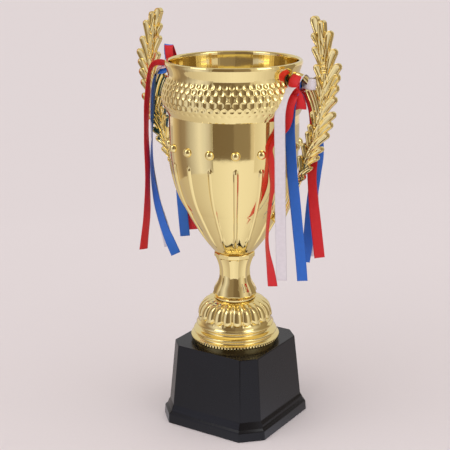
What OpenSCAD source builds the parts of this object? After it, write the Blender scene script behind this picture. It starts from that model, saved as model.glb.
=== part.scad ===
// Presentation cup trophy: a two-handled cup on a hollow moulded plinth, all
// clamped together by one threaded tie rod, with ribbons tied to both handles.
// Millimetres. The origin is the middle of the resting face, +Z is up, the
// handles lie along X and the front of the plinth faces -Y.

/* [Plinth] */
// Width across the flats at the bottom edge
plinth_w = 121; // [112:0.5:132]
// Height of the top face above the floor
plinth_h = 81.5; // [70:0.5:100]
// Width across the flats of the top face
top_w = 98.2; // [96:0.2:106]
// Length that the cut corner takes off each side at the bottom edge
corner_cut = 18.6; // [14:0.2:22]
// Length that the cut corner takes off each side of the top face
top_cut = 12.9; // [10:0.1:15]
// Height of the upright band round the bottom
skirt_h = 9; // [7:0.5:12]
// Wall thickness of the plinth moulding
plinth_wall = 2.6; // [2:0.1:3.2]
// Thickness of the bottom cover
cover_t = 3; // [2:0.5:4]
// Thickness of the felt under the cover
felt_t = 1.6; // [1:0.2:2.4]
// How far the felt stands below the rim of the moulding
felt_proud = 0.5; // [0.2:0.1:0.8]
// Side of the square steel weight
weight_w = 74; // [50:1:76]
// Thickness of the steel weight
weight_t = 8; // [4:1:12]

/* [Foot and stem] */
// Radius of the foot's flange
flange_r = 44.7; // [42:0.1:46.5]
// Height of the foot from the plinth to the neck ring
foot_h = 44.9; // [40:0.1:54]
// Height of the neck ring
ring_h = 2.8; // [2:0.1:4]
// Radius of the neck ring
ring_r = 21; // [20:0.1:21.6]
// Radius of the foot's dome where the lobes are fullest
dome_r = 36.5; // [34:0.1:38]
// Height of the fluted stem with its collar
stem_h = 45.8; // [40:0.1:55]
// Radius of the stem at its lower edge, over the corners
stem_r = 22.6; // [22.2:0.1:24]
// Radius of the stem at its waist, over the corners
waist_r = 15.6; // [15:0.1:17]
// Radius of the collar under the cup, over the corners
collar_r = 20.7; // [20:0.1:22]
// Wall thickness of the plated mouldings
mould_wall = 2; // [1.6:0.1:2.2]
// Number of flutes round the stem
flutes = 12; // [8:1:12]

/* [Cup] */
// Outer radius of the cup's straight upper wall
bowl_r = 63; // [58:0.5:76]
// Height of the cup from the collar to the lower edge of the textured band
bowl_h = 139.4; // [116:0.2:168]
// Wall thickness of the cup
bowl_wall = 1.8; // [1.4:0.1:2.2]
// Height of the band from its lower edge to the rim
band_h = 50.8; // [46:0.2:61]
// How far the band bulges past the cup's wall
bulge_out = 6.6; // [4:0.1:8]
// How far the rim stands past the cup's wall
rim_out = 3; // [2:0.1:5]
// Height of the cup's top edge inside the band
overlap_h = 6; // [4:0.5:8]
// Number of beads, and of the ribs below them
beads = 16; // [12:1:20]
// Radius of each bead
bead_r = 4.4; // [3:0.1:5]
// Width of each rib at its top
rib_w = 4.6; // [3:0.1:5]

/* [Handles] */
// Reach of the branch from the cup's wall to the middle of its spine
branch_out = 35; // [28:0.5:42]
// Height of the branch above the rim
branch_rise = 45; // [30:0.5:55]
// Radius of the branch's spine
spine_r = 2.4; // [2:0.1:3]
// Leaves on the outer side
outer_leaves = 14; // [10:1:16]
// Leaves on the inner side
inner_leaves = 10; // [8:1:12]
// Thickness of a leaf at its midrib
leaf_t = 4.2; // [3:0.1:5]
// Radius of the bosses that the handle screws enter
boss_r = 4.6; // [4.2:0.1:5]

/* [Fixings] */
// Nominal diameter of the tie rod
rod_d = 8; // [6:1:8]
// Nominal diameter of the handle screws
handle_screw_d = 4; // [3:0.5:4]
// Nominal diameter of the cover screws
cover_screw_d = 3.5; // [3:0.5:4]

/* [Ribbons] */
// Width of a ribbon
ribbon_w = 10; // [8:0.5:11]
// Thickness allowed for a ribbon
ribbon_t = 0.5; // [0.4:0.1:0.8]

/* [Hidden] */
// Gap between a thread and the hole it is cut in
thread_gap = 0.05;
// Gap round a shank in a clearance hole
shank_gap = 0.3;
// Gap round a glued or spigotted joint
joint_gap = 0.1;
// Gap that a flat boss needs to sit clear of the round wall
seat_gap = 0.3;
// Gap round the cover, the felt and each layer of ribbon
loose_gap = 0.3;
// A little more than nothing, for cuts that have to pass right through
over = 1;
round_fn = 96;

rod_r = rod_d / 2;
rod_hole_r = rod_r + 0.5;
nut_af = 1.625 * rod_d;
nut_h = 0.8 * rod_d;
washer_r = 1.5 * rod_d;
washer_t = 1.6;

// Heights of the stack, from the floor up
rim_z = felt_proud;
foot_z = plinth_h;
ring_z = foot_z + foot_h;
stem_z = ring_z + ring_h;
bowl_z = stem_z + stem_h;
band_z = bowl_z + bowl_h;
top_z = band_z + band_h;
skirt_z = rim_z + skirt_h;
step_z = skirt_z + 5.5;
wall_z = step_z + 3;
felt_top_z = felt_t;
cover_top_z = felt_top_z + cover_t;
ceiling_z = plinth_h - plinth_wall;

// Half widths and corner cuts of the plinth's outline, from the floor up
half_bottom = plinth_w / 2;
half_skirt = half_bottom - 0.7;
half_cove = half_skirt - 2.5;
half_step = half_cove - 1;
half_wall = half_step - 1.8;
half_top = top_w / 2;
cut_skirt = corner_cut - 0.6;
cut_cove = cut_skirt - 1.4;
cut_step = cut_cove - 0.6;
cut_wall = cut_step - 1.4;
wall_lean = (half_wall - half_top) / (plinth_h - wall_z);

cover_half = half_cove - plinth_wall - 1;
cover_cut = cut_cove - 1.5;
shelf = 3;
cover_post_r = 4;
post_at = half_top - plinth_wall - cover_post_r + 1.4;

spigot_r = 14;
spigot_h = 3;
floor_t = 3;
foot_tube_r = rod_hole_r + 2;
rod_low_z = ceiling_z - weight_t - washer_t - nut_h - 6;
bowl_floor_z = bowl_z + floor_t;
rod_high_z = bowl_floor_z + washer_t + nut_h + 3;
washer_well_r = washer_r + 0.6;

bulge_r = bowl_r + bulge_out;
neck_r = bowl_r - 0.1;
rim_r = bowl_r + rim_out;
edge_r = bowl_r + 1;
neck_z = band_z + 0.713 * band_h;
bead_z = band_z - 30.1;

screw_r = handle_screw_d / 2;
screw_len = 10;
head_r = 2 * screw_r;
head_h = 0.65 * handle_screw_d;
pad_r = head_r + 0.6;
pad_t = 0.8;

// ---------- curves ----------

// A point on a cubic curve with the four control points in p
function bezier(p, t) = pow(1 - t, 3) * p[0] + 3 * pow(1 - t, 2) * t * p[1]
    + 3 * (1 - t) * t * t * p[2] + pow(t, 3) * p[3];
// The points of a cubic curve without its last one
function stretch(p, n) = [for (i = [0:n - 1]) bezier(p, i / n)];
// The unit direction of a cubic curve at t
function heading(p, t) = let (d = bezier(p, t + 0.005) - bezier(p, t - 0.005)) d / norm(d);
// An outline moved towards the axis by w, and down by d
function inset_by(points, w, d = 0) = [for (p = points) [max(p[0] - w, 0.2), p[1] - d]];

// ---------- outlines of the turned pieces, as [radius, height] ----------

// The cup's wall, lower part and upper part
bowl_low = [[collar_r - 2, bowl_z],
    [bowl_r * 0.398, bowl_z + 0.0165 * bowl_h],
    [bowl_r * 0.706, bowl_z + 0.280 * bowl_h],
    [bowl_r * 0.751, bowl_z + 0.323 * bowl_h]];
bowl_high = [bowl_low[3],
    [bowl_r * 0.943, bowl_z + 0.466 * bowl_h],
    [bowl_r, bowl_z + 0.666 * bowl_h],
    [bowl_r, bowl_z + 0.839 * bowl_h]];
bowl_wall_line = concat(stretch(bowl_low, 8), stretch(bowl_high, 12), [bowl_high[3]]);

// The band: from its lower edge over the bulge to the neck, and up to the rim
bulge_low = [[edge_r, band_z + 0.2], [edge_r + 0.6 * (bulge_r - edge_r), band_z + 7.3],
    [bulge_r, band_z + 9.1], [bulge_r, band_z + 16.8]];
bulge_high = [bulge_low[3], [bulge_r, band_z + 25.9], [neck_r, neck_z - 1.5], [neck_r, neck_z]];
neck_curve = [[neck_r, neck_z], [neck_r, neck_z + 3.2], [rim_r - 0.6, top_z - 6], [rim_r, top_z - 3]];
band_line = concat(stretch(bulge_low, 8), stretch(bulge_high, 10), stretch(neck_curve, 7),
    [neck_curve[3]]);

// The stem's lower flare and upper flare
stem_low = [[stem_r, stem_z + 3.2], [stem_r - 3, stem_z + 12.2],
    [waist_r, stem_z + 11.2], [waist_r, stem_z + 24.8]];
stem_high = [stem_low[3], [waist_r, stem_z + 30], [waist_r + 1.4, stem_z + 35.4],
    [collar_r - 1.2, stem_z + stem_h - 5]];
stem_line = concat(stretch(stem_low, 7), stretch(stem_high, 6), [stem_high[3]]);

// The foot's dome
dome = [[dome_r, ring_z - 19.4], [dome_r, ring_z - 7.9], [ring_r + 5.4, ring_z], [ring_r, ring_z]];
dome_line = stretch(dome, 10);

// ---------- shared shapes ----------

// A square of half width w with its corners cut by c
module cut_square(w, c) {
    polygon([[w, c - w], [w, w - c], [w - c, w], [c - w, w],
        [-w, w - c], [-w, c - w], [c - w, -w], [w - c, -w]]);
}

// A tapering block between two cut squares
module taper(z1, w1, c1, z2, w2, c2) {
    hull() {
        translate([0, 0, z1]) linear_extrude(0.01) cut_square(w1, c1);
        translate([0, 0, z2 - 0.01]) linear_extrude(0.01) cut_square(w2, c2);
    }
}

module turned(points) {
    rotate_extrude($fn = round_fn) polygon(points);
}

// Places its children at the four cover screws
module at_cover_screws() {
    for (a = [0:90:270]) rotate([0, 0, a]) translate([post_at, 0, 0]) children();
}

// Places its children with their Z axis along a handle screw, pointing out of the cup
lower_at = bezier(bowl_low, 0.86);
lower_dir = heading(bowl_low, 0.86);
lower_tilt = atan2(lower_dir[0], lower_dir[1]);
module at_upper_screw() {
    translate([neck_r, 0, neck_z]) rotate([0, 90, 0]) children();
}
module at_lower_screw() {
    translate([lower_at[0], 0, lower_at[1]]) rotate([0, 90 + lower_tilt, 0]) children();
}
module at_handle_screws() {
    for (a = [0, 180]) rotate([0, 0, a]) {
        at_upper_screw() children();
        at_lower_screw() children();
    }
}

// ---------- plinth ----------

module base_felt() {
    color("darkgreen") linear_extrude(felt_t)
        cut_square(cover_half - loose_gap, cover_cut);
}

module base_cover() {
    color("dimgray") difference() {
        translate([0, 0, felt_top_z]) linear_extrude(cover_t)
            cut_square(cover_half - loose_gap, cover_cut);
        at_cover_screws() {
            translate([0, 0, felt_top_z - over])
                cylinder(r = cover_screw_d / 2 + shank_gap, h = cover_t + 2 * over, $fn = 32);
            translate([0, 0, felt_top_z]) cylinder(r1 = cover_screw_d + loose_gap,
                r2 = cover_screw_d / 2 + loose_gap, h = cover_screw_d / 2, $fn = 32);
        }
    }
}

module cover_screws() {
    color("silver") at_cover_screws() translate([0, 0, felt_top_z]) {
        cylinder(r1 = cover_screw_d, r2 = cover_screw_d / 2, h = cover_screw_d / 2, $fn = 32);
        cylinder(r = cover_screw_d / 2, h = 14, $fn = 32);
    }
}

module base_shell() {
    color([0.12, 0.12, 0.13]) difference() {
        union() {
            difference() {
                union() {
                    taper(rim_z, half_bottom, corner_cut, skirt_z, half_skirt, cut_skirt);
                    taper(skirt_z, half_skirt, cut_skirt, skirt_z + 2.4, half_cove, cut_cove);
                    taper(skirt_z + 2.4, half_cove, cut_cove, step_z, half_step, cut_step);
                    taper(step_z, half_step, cut_step, wall_z, half_wall, cut_wall);
                    taper(wall_z, half_wall, cut_wall, plinth_h, half_top, top_cut);
                }
                translate([0, 0, -over]) linear_extrude(cover_top_z + over)
                    cut_square(cover_half, cover_cut);
                taper(cover_top_z - 0.1, cover_half - shelf, cover_cut - 0.5,
                    ceiling_z, half_top - plinth_wall, top_cut - 1);
            }
            at_cover_screws() translate([0, 0, cover_top_z])
                cylinder(r = cover_post_r, h = ceiling_z - cover_top_z + 0.5, $fn = 32);
        }
        at_cover_screws() translate([0, 0, cover_top_z - over])
            cylinder(r = cover_screw_d / 2 + thread_gap, h = 14 + over, $fn = 32);
        translate([0, 0, ceiling_z - over])
            cylinder(r = rod_hole_r, h = plinth_wall + 2 * over, $fn = 48);
    }
}

module weight_plate() {
    color("slategray") translate([0, 0, ceiling_z - weight_t]) difference() {
        translate([-weight_w / 2, -weight_w / 2, 0]) cube([weight_w, weight_w, weight_t]);
        translate([0, 0, -over]) cylinder(r = rod_hole_r, h = weight_t + 2 * over, $fn = 48);
    }
}

// ---------- tie rod and its nuts ----------

module washer(z) {
    color("silver") translate([0, 0, z]) difference() {
        cylinder(r = washer_r, h = washer_t, $fn = 64);
        translate([0, 0, -over])
            cylinder(r = rod_r + shank_gap, h = washer_t + 2 * over, $fn = 48);
    }
}

module nut(z) {
    color("silver") translate([0, 0, z]) difference() {
        cylinder(r = nut_af / 2 / cos(30), h = nut_h, $fn = 6);
        translate([0, 0, -over])
            cylinder(r = rod_r + thread_gap, h = nut_h + 2 * over, $fn = 48);
    }
}

module lower_washer() { washer(ceiling_z - weight_t - washer_t); }
module lower_nut() { nut(ceiling_z - weight_t - washer_t - nut_h); }
module upper_washer() { washer(bowl_floor_z); }
module upper_nut() { nut(bowl_floor_z + washer_t); }

module tie_rod() {
    color("gainsboro") translate([0, 0, rod_low_z])
        cylinder(r = rod_r, h = rod_high_z - rod_low_z, $fn = 48);
}

// ---------- foot, neck ring and stem ----------

// The foot's outer line, from the plinth to the top of the dome
foot_line = concat(
    [[flange_r - 4.2, foot_z], [flange_r - 4.2, foot_z + 3.7], [flange_r - 0.7, foot_z + 3.7],
     [flange_r, foot_z + 4.4], [flange_r, foot_z + 6.6], [flange_r - 0.5, foot_z + 7.2],
     [flange_r - 1.9, foot_z + 7.8], [flange_r - 3.1, foot_z + 8.9],
     [flange_r - 3.5, foot_z + 10], [flange_r - 3.4, foot_z + 11.3],
     [flange_r - 3.8, foot_z + 12.2], [flange_r - 4.7, foot_z + 12.8],
     [dome_r + 2.5, foot_z + 13.8], [dome_r + 1.9, foot_z + 15.1],
     [dome_r + 1.8, foot_z + 16.1], [dome_r + 2, foot_z + 17.1],
     [dome_r + 2.2, foot_z + 18.2], [dome_r + 2.1, foot_z + 19.5],
     [dome_r + 1.5, foot_z + 20.9], [dome_r + 0.4, foot_z + 21.9],
     [dome_r - 0.2, foot_z + 23]],
    dome_line, [[ring_r, ring_z]]);

module foot() {
    skirt_r = flange_r - 4.2 - mould_wall;
    inner = [for (p = foot_line) if (p[1] > foot_z + 14 && p[1] < ring_z - 0.5) p];
    color("gold") difference() {
        turned(concat([[0, foot_z]], foot_line, [[0, ring_z]]));
        difference() {
            turned(concat([[0, foot_z - over], [skirt_r, foot_z - over], [skirt_r, foot_z + 8]],
                inset_by(inner, mould_wall, mould_wall), [[0, ring_z - mould_wall]]));
            translate([0, 0, foot_z - 2 * over])
                cylinder(r = foot_tube_r, h = foot_h + over, $fn = 64);
            translate([0, 0, ring_z - spigot_h - mould_wall])
                cylinder(r = spigot_r + mould_wall, h = foot_h, $fn = 64);
        }
        translate([0, 0, foot_z - over])
            cylinder(r = rod_hole_r, h = foot_h + 2 * over, $fn = 48);
        translate([0, 0, ring_z - spigot_h])
            cylinder(r = spigot_r + joint_gap, h = spigot_h + over, $fn = 64);
    }
}

module neck_ring() {
    color("gold") difference() {
        turned([[0, ring_z], [ring_r - 0.4, ring_z], [ring_r, ring_z + 0.8],
            [ring_r, ring_z + 1.8], [ring_r - 0.4, ring_z + 2.4],
            [ring_r - 1.1, ring_z + ring_h], [0, ring_z + ring_h]]);
        translate([0, 0, ring_z - over])
            cylinder(r = spigot_r + joint_gap, h = ring_h + 2 * over, $fn = 64);
    }
}

module stem() {
    top = stem_z + stem_h;
    foot_rise = ring_h + spigot_h - 0.2;
    color("gold") difference() {
        union() {
            rotate([0, 0, 180 / flutes]) rotate_extrude($fn = flutes) polygon(concat(
                [[0, stem_z], [stem_r - 2.6, stem_z], [stem_r - 0.4, stem_z + 2]], stem_line,
                [[collar_r - 0.3, stem_z + stem_h - 4.5], [collar_r, stem_z + stem_h - 3.6],
                 [collar_r, top - 0.8], [collar_r - 0.7, top], [0, top]]));
            translate([0, 0, stem_z - foot_rise])
                cylinder(r = spigot_r, h = foot_rise + 1, $fn = 64);
        }
        rotate_extrude($fn = 48) polygon(concat(
            [[0, stem_z - foot_rise - over], [spigot_r - mould_wall, stem_z - foot_rise - over],
             [spigot_r - mould_wall, stem_z]],
            inset_by([for (p = stem_line) if (p[1] > stem_z + 9) p], mould_wall + 1.2),
            [[0, stem_z + stem_h - 7.5]]));
        translate([0, 0, stem_z]) cylinder(r = rod_hole_r, h = stem_h + over, $fn = 48);
        translate([0, 0, top - spigot_h])
            cylinder(r = spigot_r - 2 + joint_gap, h = spigot_h + over, $fn = 64);
    }
}

// ---------- cup ----------

// A slab that one rib keeps of the raised skin
module rib_slab(z1, z2) {
    translate([bowl_r / 3, -rib_w / 2, z1]) cube([bowl_r, rib_w, z2 - z1]);
}

module bowl() {
    rib_top = bead_z - 14.5;
    rib_low = bowl_z + 0.1 * bowl_h;
    inner = inset_by([for (p = bowl_wall_line) if (p[1] > bowl_z + 6) p], bowl_wall * 1.15);
    color("gold") difference() {
        union() {
            turned(concat([[0, bowl_z]], bowl_wall_line,
                [[bowl_r, band_z + overlap_h], [0, band_z + overlap_h]]));
            translate([0, 0, bowl_z - spigot_h + 0.2])
                cylinder(r = spigot_r - 2, h = spigot_h, $fn = 64);
            for (i = [0:beads - 1]) rotate([0, 0, (i + 0.5) * 360 / beads])
                translate([bowl_r - 0.3, 0, bead_z]) rotate([0, 90, 0]) sphere(r = bead_r, $fn = 32);
            intersection() {
                turned(concat([[0, bowl_z]], inset_by(bowl_wall_line, -0.9, 0),
                    [[0, bowl_high[3][1]]]));
                for (i = [0:beads - 1]) rotate([0, 0, (i + 0.5) * 360 / beads])
                    rib_slab(rib_low, rib_top);
            }
        }
        turned(concat([[0, bowl_floor_z], [washer_well_r, bowl_floor_z]], inner,
            [[bowl_r - bowl_wall, band_z], [bowl_r - bowl_wall, top_z], [0, top_z]]));
        translate([0, 0, bowl_z - spigot_h - over])
            cylinder(r = rod_hole_r, h = spigot_h + floor_t + 2 * over, $fn = 48);
        for (a = [0, 180]) rotate([0, 0, a]) at_lower_screw() translate([0, 0, -12])
            cylinder(r = screw_r + shank_gap, h = 16, $fn = 32);
    }
}

module rim_band() {
    socket_z = band_z + overlap_h;
    inner = [for (p = band_line) if (p[1] > socket_z + 2) [p[0] - mould_wall, p[1]]];
    color("gold") difference() {
        turned(concat([[0, band_z]], [[edge_r - 0.3, band_z]], band_line,
            [[rim_r - 0.3, top_z - 1], [rim_r - 1.2, top_z], [rim_r - 2.4, top_z - 0.2],
             [0, top_z - 0.2]]));
        turned(concat([[0, socket_z], [bowl_r - bowl_wall, socket_z]], inner,
            [[rim_r - 3.4, top_z - 1.4], [rim_r - 2.4, top_z + over], [0, top_z + over]]));
        translate([0, 0, band_z - over])
            cylinder(r = bowl_r + joint_gap, h = overlap_h + over, $fn = round_fn);
        for (a = [0, 180]) rotate([0, 0, a]) at_upper_screw() translate([0, 0, -8])
            cylinder(r = screw_r + shank_gap, h = 12, $fn = 32);
    }
}

// ---------- handles ----------

spine_x = bowl_r + branch_out;
tip_z = top_z + branch_rise;
spine_mid_z = tip_z - 58;
boss_end = lower_at + [cos(lower_tilt), -sin(lower_tilt)] * 9;
spine_high = [[spine_x, spine_mid_z], [spine_x, spine_mid_z + 16],
    [spine_x - 2.5, spine_mid_z + 32], [spine_x - 7.5, spine_mid_z + 45]];
spine_low = [[spine_x, spine_mid_z], [spine_x, spine_mid_z - 48],
    [boss_end[0] + 18, boss_end[1] + 43], boss_end];
arm = [[neck_r + 6.5, neck_z + 1], [neck_r + 16, neck_z + 3.5],
    [spine_x - 9, neck_z - 5], [spine_x - 4, neck_z - 32]];

// The spine as one curve, s from 0 at the lower boss to 2 at the last leaf
function spine(s) = s < 1 ? bezier(spine_low, 1 - s) : bezier(spine_high, s - 1);
function spine_dir(s) = let (d = spine(min(s + 0.01, 2)) - spine(max(s - 0.01, 0))) d / norm(d);
function turned_by(v, a) = [v[0] * cos(a) - v[1] * sin(a), v[0] * sin(a) + v[1] * cos(a)];

// A pointed leaf with a ridge down its middle, lying in the XZ plane
module leaf(root, tip, w) {
    d = tip - root;
    translate([root[0], 0, root[1]]) rotate([0, -atan2(d[1], d[0]), 0]) hull()
        for (q = [[0, 0.3], [0.35, 0.9], [0.6, 1], [0.85, 0.7], [0.98, 0.3]])
            translate([q[0] * norm(d), 0, 0]) rotate([0, 90, 0]) linear_extrude(0.1)
                polygon([[-q[1] * w / 2, 0], [0, q[1] * leaf_t / 2],
                    [q[1] * w / 2, 0], [0, -q[1] * leaf_t / 2]]);
}

// How far an outer leaf reaches, q from 0 at the lowest to 1 at the highest
function outer_reach(q) = 6 + 9 * sin(min(q * 180, 105)) - 22 * max(0, q - 0.8);

// A leaf on the spine at s that reaches out by reach at the angle a to it
module leaf_on(s, reach, a, w) {
    root = spine(s);
    leaf(root, root + turned_by(spine_dir(s), a) * reach / sin(abs(a)), w);
}

// A round bar along the points
module bar(points, r1, r2) {
    n = len(points) - 1;
    for (i = [0:n - 1]) hull() for (k = [i, i + 1])
        translate([points[k][0], 0, points[k][1]])
            sphere(r = r1 + (r2 - r1) * k / n, $fn = 8);
}

// A flat scroll along the points, tall at its start
module scroll(points, tall, low, wide) {
    n = len(points) - 1;
    for (i = [0:n - 1]) hull() for (k = [i, i + 1])
        translate([points[k][0], 0, points[k][1]]) rotate([90, 0, 0])
            cylinder(r = (tall + (low - tall) * k / n) / 2, h = wide, center = true, $fn = 16);
}

// The handle on +X; the other one is its half turn about Z
module handle() {
    difference() {
        union() {
            bar([for (i = [0:20]) spine(i / 10)], spine_r + 0.6, spine_r - 0.6);
            scroll([for (i = [0:6]) bezier(arm, i / 6)], 8, 3.5, 5);
            for (i = [0:outer_leaves - 1]) {
                q = i / (outer_leaves - 1);
                translate([0, i % 2 ? 0.15 : -0.15, 0])
                    leaf_on(0.33 + 1.42 * q, outer_reach(q), -38 + 9 * q, 6.5);
            }
            for (i = [0:inner_leaves - 1]) {
                q = i / (inner_leaves - 1);
                translate([0, i % 2 ? 0.1 : -0.1, 0])
                    leaf_on(0.42 + 1.28 * q, 9 - 2 * q, 30 - 11 * q, 6);
            }
            leaf(spine(1.8), spine(2) + spine_dir(2) * 8, 7.5);
            at_upper_screw() {
                translate([0, 0, joint_gap]) cylinder(r = boss_r - 1.6, h = 4, $fn = 32);
                translate([0, 0, 1.6]) cylinder(r = boss_r, h = 7, $fn = 32);
            }
            at_lower_screw() translate([0, 0, seat_gap]) cylinder(r = boss_r, h = 10, $fn = 32);
        }
        at_upper_screw() translate([0, 0, -over])
            cylinder(r = screw_r + thread_gap, h = 7.5 + over, $fn = 32);
        at_lower_screw() translate([0, 0, -over])
            cylinder(r = screw_r + thread_gap, h = 7.5 + over, $fn = 32);
    }
}

module handle_right() { color("gold") handle(); }
module handle_left() { color("gold") rotate([0, 0, 180]) handle(); }

// Each screw comes from inside the cup, through a washer and the wall
module handle_washers() {
    color("silver") at_handle_screws() translate([0, 0, -bowl_wall - 1.2 - pad_t])
        difference() {
            cylinder(r = pad_r, h = pad_t, $fn = 32);
            translate([0, 0, -over])
                cylinder(r = screw_r + shank_gap, h = pad_t + 2 * over, $fn = 32);
        }
}

module handle_screws() {
    color("silver") at_handle_screws() translate([0, 0, -bowl_wall - 1.2 - pad_t]) {
        translate([0, 0, -head_h]) cylinder(r = head_r, h = head_h, $fn = 32);
        cylinder(r = screw_r, h = screw_len, $fn = 32);
    }
}

// ---------- ribbons ----------

// A ribbon through points [x, y, z, yaw] from the knot, where yaw turns its width about Z
module strip(points) {
    for (i = [0:len(points) - 2]) hull() for (p = [points[i], points[i + 1]])
        translate([p[0], p[1], p[2]]) rotate([0, 0, p[3]])
            cube([ribbon_w, ribbon_t, 0.4], center = true);
}

// How far layer k of the knot stands off the arm, and the middle of its wall
function layer_gap(k) = 0.4 + k * (ribbon_t + 0.25);
function wall_y(k) = 3 + layer_gap(k) + 0.8 * ribbon_t;

// A turn of ribbon round the arm, as layer number k
module wrap(k) {
    g = layer_gap(k);
    translate([-ribbon_w / 2 - 0.5, 0, 0]) rotate([90, 0, 90]) linear_extrude(ribbon_w + 1)
        difference() {
            square([6 + 2 * (g + ribbon_t), 11 + 2 * (g + ribbon_t)], center = true);
            square([6 + 2 * g, 11 + 2 * g], center = true);
        }
}

knot_x = neck_r + 9;
knot_z = neck_z + 1.5;

module ribbon_red_right() {
    color("crimson") translate([knot_x, 0, knot_z]) {
        wrap(2);
        strip([[0, -wall_y(2), -5, 0], [0, -6, -7, 20], [-1, -12, -12, 0], [-2, -20, -21, -40],
            [-4, -24, -35, -45], [-8, -27, -54, -50], [-12, -27, -73, -50], [-14, -29, -102, -60],
            [-15, -31, -126, -70], [-14, -31, -159, -60], [-12, -31, -179, -40],
            [-9, -31, -195, -20]]);
        strip([[1, wall_y(2), -5, 0], [1, 6, -6, 40], [5, 7, -17, 30], [9, 7, -34, 30],
            [10, 6.5, -58, 20], [12, 6, -88, 20], [14, 6, -115, 25], [16, 6, -139, 30],
            [21, 5, -171, 35]]);
    }
}

module ribbon_white_right() {
    color("lavender") translate([knot_x, 0, knot_z]) {
        wrap(1);
        strip([[-3, -wall_y(1), -1, 0], [-3, -5, -1, 10], [-5, -12, -4, -10], [-6, -19, -11, -20],
            [-6, -24, -21, -25], [-6, -26, -35, -30], [-5, -26, -72, -30], [-5, -25, -111, -30],
            [-5, -25, -149, -30], [-4, -25, -188, -30]]);
        strip([[4, wall_y(1), -5, 0], [4, 6, -7, 40], [8, 12, -21, 30], [8, 16, -40, 30],
            [6, 17, -89, 30], [7, 18, -128, 30], [8, 18, -175, 30]]);
    }
}

module ribbon_blue_right() {
    color("royalblue") translate([knot_x, 0, knot_z]) {
        wrap(0);
        strip([[-1, -wall_y(0), -5, 0], [-1, -4, -6, 0], [-2, -9, -14, -5], [-2, -13, -28, -5],
            [-2, -13, -47, -5], [-2, -12, -65, 0], [0, -12, -89, 5], [3, -12, -113, 10],
            [7, -12, -146, 15], [9, -12, -166, 20], [12, -12, -191, 20]]);
        strip([[0, wall_y(0), -5, 0], [0, 5, -10, 30], [3, 10, -20, 30], [5, 11.5, -40, 30],
            [6, 12.5, -69, 30], [6, 13, -93, 30], [5, 13, -123, 30], [4, 13, -158, 30],
            [2, 13, -181, 30]]);
    }
}

module ribbon_red_left() {
    color("crimson") translate([-knot_x, 0, knot_z]) {
        wrap(2);
        strip([[-2, -wall_y(2), 5, 0], [-2, -6, 6, -20], [-9, -8, 5, -30], [-15, -9, 3, -40],
            [-19, -10, -2, -60], [-22, -10, -13, -75], [-24, -10, -26, -75], [-26, -10, -39, -75],
            [-27, -10, -56, -75], [-28, -10, -74, -70], [-27, -10, -102, -60],
            [-28, -10, -134, -50], [-31, -10, -156, -40], [-35, -10, -191, -20]]);
        strip([[-3, wall_y(2), -5, 0], [-3, 6, -8, 30], [-2, 16, -22, 30], [0, 18, -45, 30],
            [2, 19, -86, 30], [6, 19, -139, 30], [9, 19, -170, 30]]);
    }
}

module ribbon_white_left() {
    color("lavender") translate([-knot_x, 0, knot_z]) {
        wrap(1);
        strip([[-4, -wall_y(1), 4, 0], [-4, -5, 4, -20], [-11, -6, 1, -30], [-16, -7, -3, -50],
            [-19, -8, -11, -75], [-22, -8, -25, -80], [-23, -8, -43, -80], [-24, -8, -64, -70],
            [-23, -8, -91, -40], [-20, -8, -111, -30], [-17, -8, -136, -20], [-12, -8, -162, -15],
            [-6, -8, -185, -10]]);
        strip([[-4, wall_y(1), -5, 0], [-4, 5, -6, 30], [-4, 14, -22, 30], [-3, 16, -45, 30],
            [-2, 16, -86, 30], [-1, 16, -122, 30]]);
    }
}

module ribbon_blue_left() {
    color("royalblue") translate([-knot_x, 0, knot_z]) {
        wrap(0);
        strip([[-4, -wall_y(0), 1, 0], [-4, -4, 1, -20], [-10, -5, -1, -30], [-14, -5.5, -5, -50],
            [-17, -6, -12, -70], [-18, -6, -21, -75], [-19, -6, -34, -75], [-20, -6, -50, -70],
            [-21, -6, -65, -50], [-22, -6, -77, -30], [-19, -6, -109, -10], [-12, -6, -140, 0],
            [-6, -6, -160, 5], [4, -6, -191, 10]]);
        strip([[-2, wall_y(0), -5, 0], [-2, 5, -9, 30], [-2, 9, -22, 30], [-1, 11, -45, 30],
            [-1, 11, -86, 30], [0, 11, -130, 30], [4, 11, -176, 30]]);
    }
}

base_felt();
base_cover();
cover_screws();
base_shell();
weight_plate();
lower_washer();
lower_nut();
tie_rod();
foot();
neck_ring();
stem();
bowl();
rim_band();
upper_washer();
upper_nut();
handle_right();
handle_left();
handle_washers();
handle_screws();
ribbon_red_right();
ribbon_white_right();
ribbon_blue_right();
ribbon_red_left();
ribbon_white_left();
ribbon_blue_left();
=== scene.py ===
import math

import bmesh
import bpy
from bpy.props import FloatProperty, FloatVectorProperty, IntProperty, PointerProperty
from bpy.props import StringProperty
from mathutils import Matrix, Vector


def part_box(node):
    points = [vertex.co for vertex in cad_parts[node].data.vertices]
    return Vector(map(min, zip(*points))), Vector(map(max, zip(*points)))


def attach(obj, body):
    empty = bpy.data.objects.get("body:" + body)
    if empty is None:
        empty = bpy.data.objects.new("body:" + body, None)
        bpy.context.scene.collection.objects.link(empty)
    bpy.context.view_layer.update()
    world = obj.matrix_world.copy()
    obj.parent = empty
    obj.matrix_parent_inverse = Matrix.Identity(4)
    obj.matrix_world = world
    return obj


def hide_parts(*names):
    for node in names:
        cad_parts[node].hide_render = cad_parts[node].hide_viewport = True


bl_info = {
    "name": "Presentation Cup",
    "version": (1, 0, 0),
    "blender": (4, 5, 0),
    "location": "View3D > Sidebar > Cup",
    "description": "Builds the gilt cup, its handles, plinth and ribbons round the packed frame",
    "category": "Object",
}

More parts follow.
